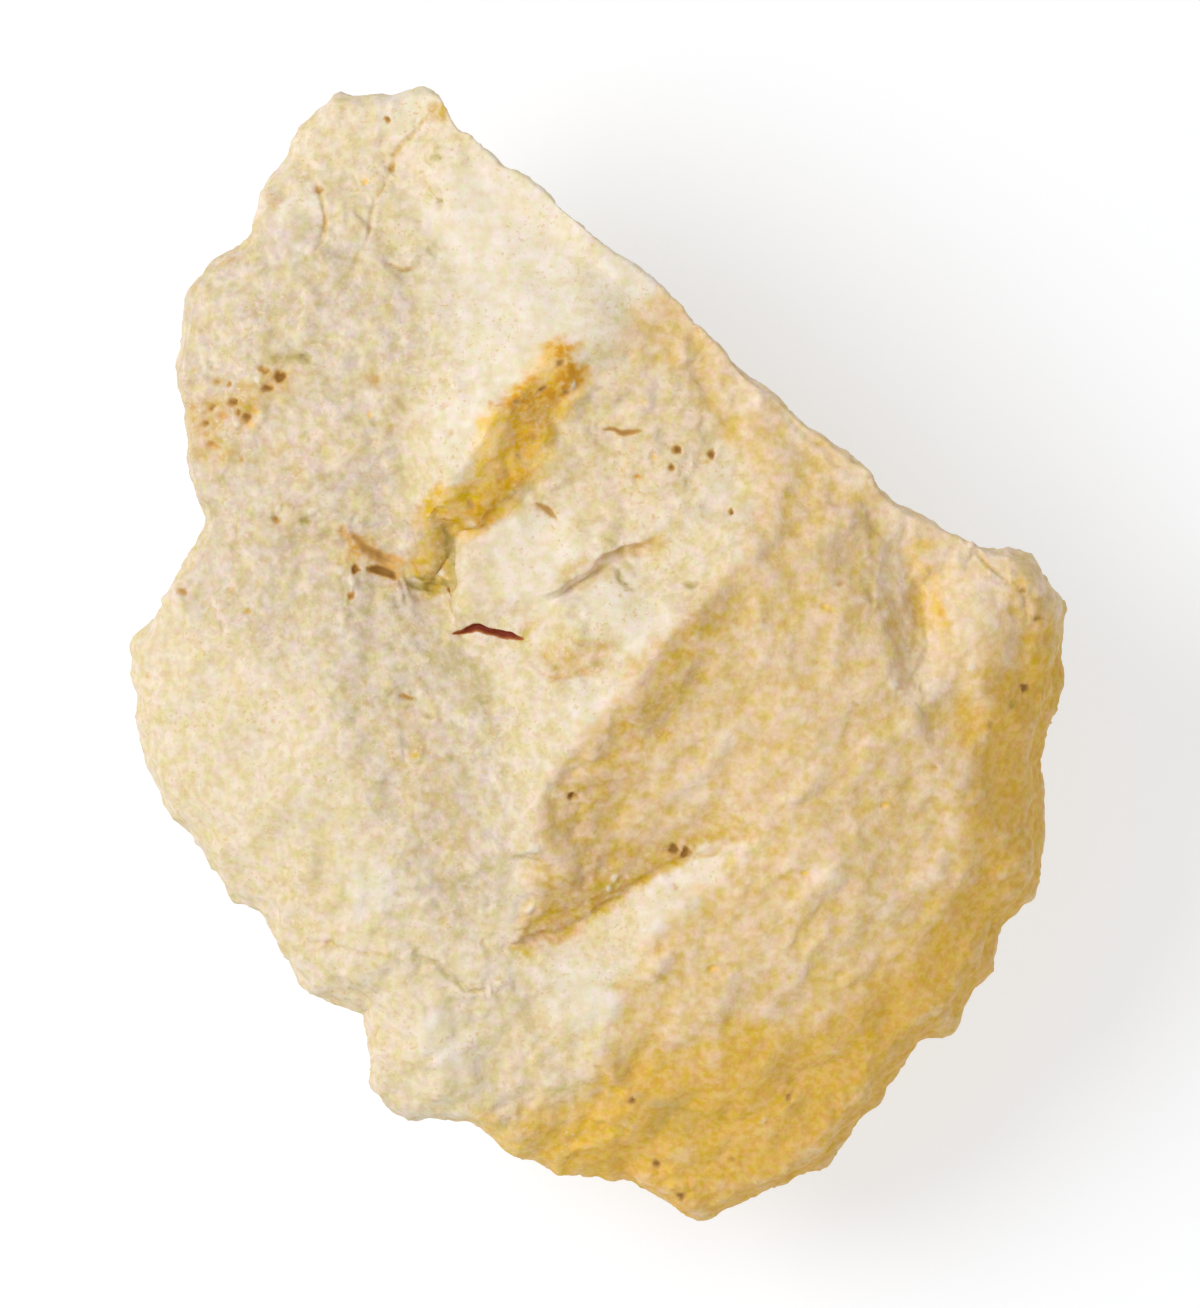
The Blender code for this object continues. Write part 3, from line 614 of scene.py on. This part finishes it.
# colours that lie over areas of the upper side: which one, an outline in mm, and how softly it ends
areas = {
    "warm": {
        "mask": "warm",
        "outline": ((0.9, 19.5), (4.5, 23.0), (19.0, 12.0), (31.0, 7.0), (31.0, -6.0), (28.0, -20.0),
                    (14.0, -34.0), (4.0, -37.0), (-1.6, -30.0), (-0.5, -25.9), (0.4, -23.4), (1.5, -20.5),
                    (2.3, -18.7), (3.2, -16.7), (5.6, -14.9), (9.5, -11.2), (8.8, -11.0), (6.3, -12.1),
                    (3.2, -13.3), (0.9, -14.8), (-1.2, -16.2), (-3.2, -17.1), (-5.3, -17.5),
                    (-4.6, -15.2), (-4.0, -12.0), (-3.8, -8.8), (-2.6, -6.6), (-1.4, -5.1), (0.0, -3.4),
                    (1.4, -2.1), (3.5, 0.4), (6.3, 3.4), (8.7, 6.8), (9.8, 8.6), (9.2, 11.2), (7.0, 14.2),
                    (4.6, 16.6), (2.2, 18.2)),
        "border": 0.5, "amount": 1.0},
    "grey": {
        "mask": "grey",
        "outline": ((-20.0, 27.0), (-14.0, 25.0), (-10.0, 20.0), (-11.5, 13.0), (-11.5, 9.0), (-9.2, 7.0),
                    (-9.0, 2.0), (-6.0, -3.0), (-5.0, -9.0), (-6.0, -14.0), (-9.0, -17.0), (-12.0, -13.0),
                    (-15.5, -6.0), (-18.0, -1.5), (-23.0, 1.0), (-25.5, 3.0), (-25.0, 8.0), (-29.0, 13.0),
                    (-29.0, 19.0), (-25.0, 24.0)),
        "border": 1.1, "amount": 1.0},
    # painted shade: darker tan in the scoop, a hollow that lies in shade
    "scoop": {
        "mask": "paintedShadeAndSpeck",
        "outline": ((-3.8, -1.1), (-3.4, 0.3), (-2.5, 1.2), (-1.0, 1.5), (0.9, 0.9), (1.1, -0.1),
                    (0.2, -0.8), (-1.3, -1.3), (-2.8, -1.5)),
        "border": 0.4, "amount": 0.65},
    # painted shadow: darker tan in the splinter's hollow beside its crevice
    "splinter hollow": {
        "mask": "paintedShadeAndSpeck",
        "outline": ((-2.6, 3.6), (-2.7, 4.4), (-1.0, 5.7), (1.2, 6.1), (2.4, 6.6), (4.2, 7.6), (4.4, 7.0),
                    (2.6, 6.1), (1.5, 5.6), (1.2, 4.9), (0.2, 4.7), (-1.4, 4.4)),
        "border": 0.3, "amount": 0.55},
    "crown wall": {
        "mask": "ochre",
        "outline": ((-2.6, 18.9), (-1.3, 18.4), (-1.1, 16.6), (-1.8, 14.0), (-3.0, 11.9), (-4.6, 9.9),
                    (-6.0, 8.3), (-7.6, 7.8), (-10.6, 7.9), (-10.6, 9.1), (-9.0, 10.3), (-7.7, 12.2),
                    (-6.5, 14.4), (-4.8, 16.6)),
        "border": 0.6, "amount": 0.9},
    "wall foot": {
        "mask": "gold",
        "outline": ((-10.8, 9.3), (-8.8, 10.6), (-7.0, 11.4), (-4.6, 10.4), (-6.0, 8.2), (-8.6, 7.6),
                    (-8.6, 3.6), (-11.0, 3.8), (-11.6, 5.6), (-11.0, 7.6)),
        "border": 0.6, "amount": 0.85},
    # painted shade: a light darker tan on the shelf, which lies in the crown wall's shade
    "shelf": {
        "mask": "paintedShadeAndSpeck",
        "outline": ((-5.4, 8.6), (-4.0, 11.5), (-2.0, 14.5), (-0.2, 17.0), (1.4, 18.6), (5.4, 16.4),
                    (8.4, 12.6), (9.8, 9.0), (5.0, 9.6), (0.0, 9.4)),
        "border": 1.0, "amount": 0.25},
    "step pit": {
        "mask": "olive",
        "outline": ((-10.2, 6.8), (-9.0, 7.4), (-8.8, 5.0), (-10.4, 4.6)),
        "border": 0.8, "amount": 0.35},
    # painted shade: darker tan on the notch's wall, which is turned from the light
    "notch wall": {
        "mask": "paintedShadeAndSpeck",
        "outline": ((-5.3, -17.5), (-3.0, -17.3), (-0.8, -16.1), (1.2, -14.9), (3.8, -13.1), (6.3, -11.8),
                    (9.0, -10.8), (6.0, -10.9), (3.6, -11.6), (1.4, -12.5), (-1.0, -12.7), (-2.8, -13.9),
                    (-3.5, -15.3), (-4.1, -16.4)),
        "border": 0.35, "amount": 1.0},
    "lower rim": {
        "mask": "ochre",
        "outline": ((-9.0, -29.5), (-7.5, -27.6), (-4.0, -28.4), (-1.5, -26.8), (0.5, -24.5), (2.0, -27.0),
                    (1.0, -33.0), (-6.0, -33.0)),
        "border": 1.0, "amount": 0.5},
    "low ground": {
        "mask": "ochre",
        "outline": ((-7.0, -28.0), (-6.4, -21.5), (-2.2, -20.3), (0.4, -23.4), (-0.5, -25.9), (-1.6, -28.6)),
        "border": 1.6, "amount": 0.10},
}

# the yellow rind of the lower right side, which goes over the rim
rind = {
    "outline": ((31.0, 2.0), (26.0, 1.6), (23.2, -1.2), (22.2, -5.0), (23.4, -9.0), (22.4, -12.5),
                (19.5, -16.5), (15.0, -20.5), (11.5, -23.0), (7.5, -22.8), (3.6, -23.4), (1.0, -26.4),
                (-1.5, -27.5), (-6.0, -29.6), (-2.0, -34.0), (6.0, -38.0), (18.0, -33.0), (28.0, -22.0),
                (33.0, -8.0)),
    "border": 2.0, "amount": 1.0,
}

# paler ground, x, y, radius, mm: among the pale clay, partly paler clay and partly painted highlight, as on
# the tip, which slopes away from the light; and among the warm
paleAndHighlightSpots = (
    (-18.3, 26.2, 2.2), (-1.2, -20.6, 2.4), (7.2, 10.4, 1.4), (-5.5, 26.0, 6.0), (-4.5, 20.0, 5.0),
    (-7.5, 14.0, 3.0), (-3.5, 6.0, 3.6), (0.5, 4.0, 2.6), (-11.4, 33.2, 2.2), (3.0, 1.4, 2.2),
    (-0.8, 19.4, 1.2), (-0.5, -3.0, 2.0), (6.0, -13.2, 1.8), (3.5, -15.2, 2.0), (1.6, 23.0, 2.4),
    (-13.5, -14.2, 1.8), (-9.6, -23.6, 2.0),
)
# painted light: spots of the valley, the knob and slopes of the right face that lie in shade
paintedLightSpots = (
    (17.8, 4.8, 1.7), (19.6, 0.2, 1.4), (22.4, 5.0, 3.2), (24.4, 5.4, 1.6), (18.3, 7.9, 1.5),
    (23.2, 1.4, 2.0), (20.2, -1.2, 1.6), (15.4, 10.8, 1.3), (12.4, 13.9, 1.4), (9.4, 16.2, 1.5),
    (5.6, -8.0, 1.2), (7.4, -5.0, 1.1), (14.0, -13.4, 1.2), (19.6, -2.2, 1.0),
)

# markings of the stone and painted shade along lines: points, width, mm, and strength
stainAndShadeCore = 0.25         # share of the width where a line's colour is full
stainAndShadeLines = {
    "rust": (
        (((-2.1, 18.4), (-1.7, 17.2), (-2.5, 15.9), (-3.8, 16.3), (-5.0, 15.3)), 1.2, 1.0),
        (((-4.8, 15.4), (-6.3, 14.9)), 0.6, 0.8),
        (((-3.9, 16.3), (-3.6, 15.0), (-4.3, 13.4)), 1.3, 0.60),
        (((-4.2, 12.2), (-5.2, 10.6), (-6.8, 8.9)), 0.9, 0.25),
        (((-5.4, 11.2), (-5.2, 10.5)), 0.7, 0.6),
        (((-7.3, 8.8), (-6.5, 8.2)), 0.8, 0.8),
        (((-14.9, 7.5), (-14.4, 6.8), (-13.6, 6.1), (-12.4, 5.6)), 0.9, 0.7),
        (((25.3, -3.6), (25.8, -3.9)), 0.5, 0.4),
        (((-19.9, 27.9), (-19.5, 27.7)), 0.45, 0.6),
        (((-22.6, 24.1), (-22.4, 23.9)), 0.40, 0.45),
        (((-24.4, 22.4), (-24.1, 22.2)), 0.35, 0.5),
        (((-24.0, 5.8), (-23.7, 5.6)), 0.35, 0.45),
        (((24.6, 2.6), (24.9, 1.6)), 0.50, 0.3)),
    "ochre": (
        (((-5.0, 11.6), (-6.4, 9.6), (-8.0, 8.8), (-10.2, 8.4)), 0.9, 0.35),
        (((-9.7, 7.0), (-10.2, 5.7), (-10.6, 4.8), (-9.6, 4.3)), 1.0, 0.6),
        (((20.3, 4.6), (20.6, 2.2)), 0.6, 0.6),
        (((19.6, 6.8), (19.6, 3.6), (19.2, 1.0)), 0.7, 0.30),
        (((25.6, 3.8), (26.4, 2.0), (26.6, -1.0)), 1.2, 0.35)),
    "olive": (
        (((-9.2, -0.4), (-7.6, -1.4), (-6.8, -2.6)), 1.3, 0.50),
        # painted shadow: olive lines at the step's foot and the pit's bottom, over the pit's own olive
        (((-9.1, 7.6), (-9.0, 6.0)), 0.5, 0.9),
        (((-10.6, 4.4), (-9.2, 3.9)), 0.6, 0.9),
        (((-19.6, 18.2), (-18.8, 18.4), (-17.6, 18.1)), 0.6, 0.7),
        (((-12.4, 3.3), (-11.8, 3.1)), 0.8, 0.4),
        (((3.4, -27.6), (5.4, -28.6)), 1.3, 0.35),
        (((-22.0, -5.0), (-19.3, -9.0), (-16.0, -13.0)), 3.0, 0.08),
        (((-10.2, 24.7), (-10.9, 23.7), (-12.0, 23.2)), 0.45, 0.4),
        (((-20.8, 18.4), (-19.4, 18.0)), 1.0, 0.4)),
    # painted shade: darker tan along the main ridge's foot, in the notch wedge, and on slopes and in hollows
    # on the left that lie in shade
    "paintedShadeAndSpeck": (
        (((6.8, 2.3), (5.2, 0.4), (3.2, -3.2), (1.0, -7.0), (-0.8, -11.0)), 2.6, 0.75),
        (((-2.4, -14.2), (0.6, -12.6), (4.0, -11.4)), 1.6, 0.90),
        (((-11.5, -4.5), (-9.9, -8.3), (-8.8, -11.5)), 2.4, 0.25),
        (((-18.5, 8.4), (-16.0, 6.6)), 2.6, 0.20),
        (((-19.2, 17.0), (-21.6, 15.0), (-23.8, 15.0), (-23.4, 12.6)), 1.8, 0.75),
        (((-20.6, 12.6), (-18.0, 11.4), (-16.4, 12.0)), 2.6, 0.20),
        (((-19.4, -13.6), (-17.0, -16.4)), 2.6, 0.13),
        (((-14.8, 6.4), (-12.6, 5.4), (-10.4, 5.6)), 1.6, 0.45),
        (((-13.4, 16.9), (-12.8, 16.6)), 0.9, 0.4),
        (((-9.9, 33.6), (-9.5, 32.9)), 0.8, 0.9),
        (((-12.4, 14.4), (-11.6, 13.8)), 1.1, 0.4),
        (((-4.4, 1.8), (-4.3, 1.4)), 0.6, 0.5)),
}


def inArea(area, xy):
    # the area's amount inside its outline, 0 outside, with a soft border
    outline = np.array(area["outline"], float)
    gap, share = distanceTo(np.vstack([outline, outline[:1]]), xy)
    inside = np.zeros(len(xy), bool)
    for (x1, y1), (x2, y2) in zip(outline, np.roll(outline, -1, axis=0)):
        crosses = (y1 > xy[:, 1]) != (y2 > xy[:, 1])
        if y1 != y2:
            inside ^= crosses & (xy[:, 0] < (x2 - x1) * (xy[:, 1] - y1) / (y2 - y1) + x1)
    signed = np.where(inside, gap, -gap)
    return area["amount"] * smoothstep(-area["border"], area["border"], signed)


# how high a point stands over its surroundings; the right face's painted shade in hollows and painted
# highlight on crests follow it
hollowsAndCrests = {
    "passes": 10,            # how wide the surroundings are that a point is compared with
    "range": 0.30,           # mm, from the deepest hollow to the highest crest
}


def standing(mesh, co, no):
    # 0 in hollows, 0.5 on level ground, 1 on crests and edges
    here, there, count = neighbours(mesh)
    around = co.copy()
    for step in range(hollowsAndCrests["passes"]):
        around = sumBy(here, around[there], len(co)) / count
    return np.clip(0.5 + np.sum((co - around) * no, axis=1) / hollowsAndCrests["range"], 0, 1)


def paint(piece, above, stainsAndShade):
    # one value per point for each colour that lies in or on the stone
    mesh = piece.data
    co, no = readMesh(mesh)
    near = bent(co, "colours")
    masks = dict(stainsAndShade)
    for area in areas.values():
        lies = inArea(area, near[:, :2]) * above
        masks[area["mask"]] = np.maximum(masks.get(area["mask"], 0), lies)
    for name, lines in stainAndShadeLines.items():
        for points, width, strength in lines:
            gap, share = distanceTo(points, near[:, :2])
            lies = strength * smoothstep(width, stainAndShadeCore * width, gap) * above
            masks[name] = np.maximum(masks[name], lies)
    masks["rind"] = inArea(rind, bent(co, "rind")[:, :2])
    # paler clay, and painted highlight where slopes turn from the light
    masks["pale"] = spread(paleAndHighlightSpots, near) * above
    # painted light spots
    masks["light"] = spread(paintedLightSpots, near) * above
    masks["rise"] = standing(mesh, co, no)
    masks["side"] = 1 - above
    for name, values in masks.items():
        attribute = mesh.attributes.new(name, "FLOAT", "POINT")
        attribute.data.foreach_set("value", values.astype(np.float32))


# colours of the stone, linear
tones = {
    "cream": (0.755, 0.635, 0.43),
    "pale": (0.80, 0.705, 0.54),
    "grey": (0.665, 0.55, 0.39),
    "ash": (0.53, 0.45, 0.33),
    "warm": (0.80, 0.595, 0.345),
    # honey goes in the hollows of the right face as painted shade, crest on its crests as painted highlight
    # and on the painted light spots; crest is also the colour of crumbs
    "honey": (0.75, 0.54, 0.25),
    "crest": (0.84, 0.665, 0.45),
    "rind": (0.745, 0.46, 0.10),
    "gold": (0.68, 0.44, 0.075),
    "fringe": (0.58, 0.33, 0.09),
    "ochre": (0.88, 0.55, 0.07),
    # painted shade: a darker tan laid in crevices, pits and hollows and on walls and slopes turned from the
    # light; the fine specks take it too
    "paintedShadeAndSpeck": (0.64, 0.42, 0.14),
    "rust": (0.68, 0.31, 0.012),
    "olive": (0.40, 0.32, 0.07),
    "brown": (0.28, 0.13, 0.02),
    "red": (0.42, 0.14, 0.03),
    # the red crack's middle: darker than its red, as painted shade in the crack
    "deep": (0.20, 0.025, 0.005),
}

# the mottling is added to a colour, as twice the distance from 0.5: where its pattern is low, and high
tints = {
    "mottle": ((0.480, 0.479, 0.446), (0.520, 0.520, 0.554)),          # lime and lilac
    "fineMottle": ((0.492, 0.510, 0.490), (0.510, 0.488, 0.508)),      # green and pink
    "grains": ((0.478, 0.477, 0.478), (0.514, 0.514, 0.510)),          # darker and brighter
}

# patterns in the colour: size in mm; lean is the way one runs, in degrees, and how much longer that way
patterns = {
    "mottle": {"size": 0.9, "detail": 5.0, "shift": 3.0},
    "fineMottle": {"size": 0.54, "detail": 5.0, "shift": 17.0},
    "grains": {"size": 0.45, "detail": 3.0, "shift": 67.0},
    "fine": {"size": 0.5, "detail": 2.0, "shift": 29.0},
    "speck": {"size": 0.28, "detail": 1.0, "shift": 41.0},
    "crumb": {"size": 0.32, "detail": 1.0, "shift": 43.0},
    "blotch": {"size": 3.0, "detail": 3.0, "shift": 31.0},
    "streak": {"size": 1.3, "detail": 2.0, "shift": 47.0, "lean": (50, 1.8)},
    "ash": {"size": 0.55, "detail": 2.0, "shift": 53.0, "lean": (-60, 1.4)},
    "grey": {"size": 0.9, "detail": 3.0, "shift": 61.0, "lean": (-60, 1.6)},
    "bump": {"size": 0.22, "detail": 2.0, "shift": 5.0},
}

# where a pattern or a mask begins to show and where it is full, and how strong it then is, if not 1
ranges = {
    "grey": (0.28, 0.58),
    "ash": (0.54, 0.68, 0.40),
    "honey": (0.64, 0.38),
    "crest": (0.56, 0.84, 0.55),
    "warmSide": (0.42, 0.62, 0.75),
    "rind": (1.15, 0.50),
    "broken": (0.40, 0.60),
    "mottle": (0.30, 0.70),
    "fineMottle": (0.32, 0.68),
    "grains": (0.36, 0.62),
    "offRind": (1.5, 0.0),
    "offPale": (1.8, 0.0),
    "busy": (0.35, 0.60),
    "offWarm": (1.6, 0.0),
    "offSide": (1.0, 0.0),
    "speck": (0.60, 0.72, 0.55),
    "crumb": (0.60, 0.72, 0.60),
    "fringe": (0.0, 0.50, 0.90),
    "brown": (0.20, 1.10),
    "placedCrumb": (0.0, 0.80, 0.85),
    "red": (0.10, 0.40),
    "deep": (0.35, 0.75),
}

# how much of each marking, and of the painted shade, is left where the fine pattern breaks it up
leastStainAndShade = {"ochre": 0.80, "gold": 0.65, "paintedShadeAndSpeck": 0.60, "rust": 0.35, "olive": 0.45}

finish = {
    "roughness": 0.75,
    "specular": 0.3,
    "riseShare": 0.5,        # share of the painted shade in hollows and painted highlight on crests in the warm clay's colour; the rest is streaks
    # share of the crest colour laid on the painted light spots
    "paintedLightShare": 0.85,
    "grainDepth": 0.03,      # mm, of the bump
}


class Board:
    # a material's node tree, with short ways to add what this stone needs
    def __init__(self, material):
        self.nodes, self.links = material.node_tree.nodes, material.node_tree.links
        self.place = self.nodes.new("ShaderNodeTexCoord").outputs["Object"]

    def mask(self, name):
        node = self.nodes.new("ShaderNodeAttribute")
        node.attribute_name = name
        return node.outputs["Fac"]

    def noise(self, name):
        pattern = patterns[name]
        size, shift = pattern["size"] * mm, pattern["shift"] * mm
        angle, longer = pattern.get("lean", (0, 1))
        mapping = self.nodes.new("ShaderNodeMapping")
        mapping.vector_type = "TEXTURE"
        mapping.inputs["Location"].default_value = (shift, shift, shift)
        mapping.inputs["Rotation"].default_value = (0, 0, math.radians(angle))
        mapping.inputs["Scale"].default_value = (size * longer, size, size)
        self.links.new(self.place, mapping.inputs["Vector"])
        node = self.nodes.new("ShaderNodeTexNoise")
        node.inputs["Scale"].default_value = 1.0
        node.inputs["Detail"].default_value = pattern["detail"]
        self.links.new(mapping.outputs["Vector"], node.inputs["Vector"])
        return node.outputs["Fac"]

    def put(self, value, socket):
        if isinstance(value, bpy.types.NodeSocket):
            self.links.new(value, socket)
        else:
            socket.default_value = (*value, 1) if isinstance(value, tuple) else value

    def step(self, value, low, high, to=1.0):
        # 0 at low, to at high
        node = self.nodes.new("ShaderNodeMapRange")
        node.interpolation_type = "SMOOTHSTEP"
        limits = {"Value": value, "From Min": low, "From Max": high, "To Min": 0.0, "To Max": to}
        for name, item in limits.items():
            self.put(item, node.inputs[name])
        return node.outputs["Result"]

    def patch(self, name):
        return self.step(self.noise(name), *ranges[name])

    def combine(self, operation, a, b):
        node = self.nodes.new("ShaderNodeMath")
        node.operation = operation
        node.use_clamp = True
        self.put(a, node.inputs[0])
        self.put(b, node.inputs[1])
        return node.outputs["Value"]

    def blend(self, factor, under, over, way="MIX"):
        node = self.nodes.new("ShaderNodeMix")
        node.data_type = "RGBA"
        node.blend_type = way
        self.put(factor, node.inputs["Factor"])
        self.put(under, node.inputs["A"])
        self.put(over, node.inputs["B"])
        return node.outputs["Result"]


def paleClay(board):
    # greyer in the flow band and on the left shoulder
    # paler where the pale mask lies, which is partly painted highlight, as on the tip
    colour = board.blend(board.mask("pale"), tones["cream"], tones["pale"])
    for name in ("grey", "ash"):
        share = board.combine("MULTIPLY", board.mask("grey"), board.patch(name))
        colour = board.blend(share, colour, tones[name])
    return colour


def warmClay(board, colour, blotch):
    # the right face: honey in the hollows as painted shade, paler on the crests as painted highlight, both
    # mixed with random streaks, and the rind, which keeps off the crests; also returns the rind's share
    rise = board.combine("MULTIPLY", board.mask("rise"), finish["riseShare"])
    streak = board.combine("MULTIPLY", board.noise("streak"), 1 - finish["riseShare"])
    height = board.combine("ADD", rise, streak)
    warm = board.blend(board.step(height, *ranges["honey"]), tones["warm"], tones["honey"])
    warm = board.blend(board.step(height, *ranges["crest"]), warm, tones["crest"])
    side = board.combine("MULTIPLY", board.mask("side"), board.step(blotch, *ranges["warmSide"]))
    colour = board.blend(board.combine("MAXIMUM", board.mask("warm"), side), colour, warm)
    # painted light: the crest colour laid on spots that lie in shade
    light = board.combine("MULTIPLY", board.mask("light"), finish["paintedLightShare"])
    colour = board.blend(light, colour, tones["crest"])
    share = board.combine("MULTIPLY", board.mask("rind"), board.step(height, *ranges["rind"]))
    return board.blend(share, colour, tones["rind"]), share


def stainedAndShaded(board, colour, fine, names):
    # markings of the stone, and the darker tan of painted shade
    for name in names:
        least = leastStainAndShade[name]
        broken = board.combine("ADD", board.step(fine, *ranges["broken"], 1 - least), least)
        colour = board.blend(board.combine("MULTIPLY", board.mask(name), broken), colour, tones[name])
    return colour


def mottled(board, colour, rindShare):
    # less of the first on the rind, and of the last on pale ground
    amounts = {
        "mottle": board.step(rindShare, *ranges["offRind"]),
        "fineMottle": 1.0,
        "grains": board.step(board.mask("pale"), *ranges["offPale"]),
    }
    for name, amount in amounts.items():
        tint = board.blend(board.patch(name), *tints[name])
        colour = board.blend(amount, colour, tint, "LINEAR_LIGHT")
    return colour


def speckled(board, colour, blotch):
    # the finest specks and crumbs, fewer on the warm clay and none on the sides
    busy = board.step(blotch, *ranges["busy"])
    busy = board.combine("MULTIPLY", busy, board.step(board.mask("warm"), *ranges["offWarm"]))
    busy = board.combine("MULTIPLY", busy, board.step(board.mask("side"), *ranges["offSide"]))
    for name, tone in (("speck", "paintedShadeAndSpeck"), ("crumb", "crest")):
        colour = board.blend(board.combine("MULTIPLY", board.patch(name), busy), colour, tones[tone])
    return colour


def pitted(board, colour):
    # brown pits with a paler fringe, placed crumbs, and the red crack, dark red, with its middle darker still
    # as painted shade
    colour = board.blend(board.step(board.mask("brown"), *ranges["fringe"]), colour, tones["fringe"])
    colour = board.blend(board.step(board.mask("brown"), *ranges["brown"]), colour, tones["brown"])
    colour = board.blend(board.step(board.mask("crumb"), *ranges["placedCrumb"]), colour, tones["pale"])
    red = board.blend(board.step(board.mask("red"), *ranges["deep"]), tones["red"], tones["deep"])
    return board.blend(board.step(board.mask("red"), *ranges["red"]), colour, red)


def stoneMaterial():
    material = bpy.data.materials.new("halloysite")
    material.use_nodes = True
    board = Board(material)
    shader = board.nodes["Principled BSDF"]
    shader.inputs["Roughness"].default_value = finish["roughness"]
    shader.inputs["Specular IOR Level"].default_value = finish["specular"]

    fine, blotch = board.noise("fine"), board.noise("blotch")
    colour, rindShare = warmClay(board, paleClay(board), blotch)
    # ochre and gold markings of the stone, then the darker tan of painted shade
    colour = stainedAndShaded(board, colour, fine, ("ochre", "gold", "paintedShadeAndSpeck"))
    colour = mottled(board, colour, rindShare)
    colour = speckled(board, colour, blotch)
    colour = stainedAndShaded(board, colour, fine, ("rust", "olive"))
    board.links.new(pitted(board, colour), shader.inputs["Base Color"])

    bump = board.nodes.new("ShaderNodeBump")
    bump.inputs["Distance"].default_value = finish["grainDepth"] * mm
    bump.inputs["Strength"].default_value = 1.0
    board.links.new(board.noise("bump"), bump.inputs["Height"])
    board.links.new(bump.outputs["Normal"], shader.inputs["Normal"])
    return material


stone = fineCopy()
print("fine mesh:", len(stone.data.polygons), "triangles")
evenOut(stone)
soften(stone)
print("evened out")
divide(stone.data, carved=True)
print("finer at the cracks:", len(stone.data.polygons), "triangles")
above, stainsAndShade = roughen(stone)
print("relief done")
paint(stone, above, stainsAndShade)
stone.data.validate()        # drops the few faces that lie double
stone.data.materials.clear()
stone.data.materials.append(stoneMaterial())
stone.data.shade_smooth()
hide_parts(skin["node"])
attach(stone, "root")
print("skin done")

studio = {
    "floorSize": 3.0,                 # m
    "floorTone": (0.49, 0.50, 0.52, 1),
    "floorGlow": 0.53,
    "world": 0.45,
    "lens": 400,                      # mm
    "viewPixels": 1308,               # the view's height
    "pixelSize": 0.061,               # mm on the stone
    "lookAt": (0.15, 0.12, 20.0),     # mm
}

# direction from the stone, distance and size in metres, power in watts
lights = {
    "key": {"from": (-0.61, 0.17, 0.77), "distance": 0.6, "size": 0.35, "power": 2.20},
    "low": {"from": (-0.30, -0.62, 0.72), "distance": 0.7, "size": 0.5, "power": 0.38},
    "fill": {"from": (0.62, -0.42, 0.66), "distance": 0.7, "size": 0.5, "power": 0.50},
}


def makeFloor():
    bpy.ops.mesh.primitive_plane_add(size=studio["floorSize"])
    floor = bpy.context.object
    floor.name = "floor"
    material = bpy.data.materials.new("pale floor")
    material.use_nodes = True
    shader = material.node_tree.nodes["Principled BSDF"]
    shader.inputs["Base Color"].default_value = studio["floorTone"]
    shader.inputs["Roughness"].default_value = 1.0
    shader.inputs["Specular IOR Level"].default_value = 0.0
    shader.inputs["Emission Color"].default_value = (1, 1, 1, 1)
    shader.inputs["Emission Strength"].default_value = studio["floorGlow"]
    floor.data.materials.append(material)


def makeLight(name, facts):
    light = bpy.data.lights.new(name, "AREA")
    light.shape = "DISK"
    light.size = facts["size"]
    light.energy = facts["power"]
    lamp = bpy.data.objects.new(name, light)
    lamp.location = Vector(facts["from"]).normalized() * facts["distance"]
    lamp.rotation_euler = (-lamp.location).to_track_quat("-Z", "Y").to_euler()
    bpy.context.scene.collection.objects.link(lamp)


def makeWorld():
    world = bpy.data.worlds.new("studio")
    world.use_nodes = True
    background = world.node_tree.nodes["Background"]
    background.inputs["Color"].default_value = (1, 1, 1, 1)
    background.inputs["Strength"].default_value = studio["world"]
    bpy.context.scene.world = world


def makeCamera():
    camera = bpy.data.cameras.new("camera")
    camera.lens = studio["lens"]
    distance = studio["viewPixels"] * studio["pixelSize"] * studio["lens"] / camera.sensor_width
    eye = bpy.data.objects.new("camera", camera)
    eye.location = (Vector(studio["lookAt"]) + Vector((0, 0, distance))) * mm
    bpy.context.scene.collection.objects.link(eye)
    bpy.context.scene.camera = eye


makeFloor()
for name, facts in lights.items():
    makeLight(name, facts)
makeWorld()
makeCamera()
bpy.context.scene.view_settings.view_transform = "Standard"
print("studio done")
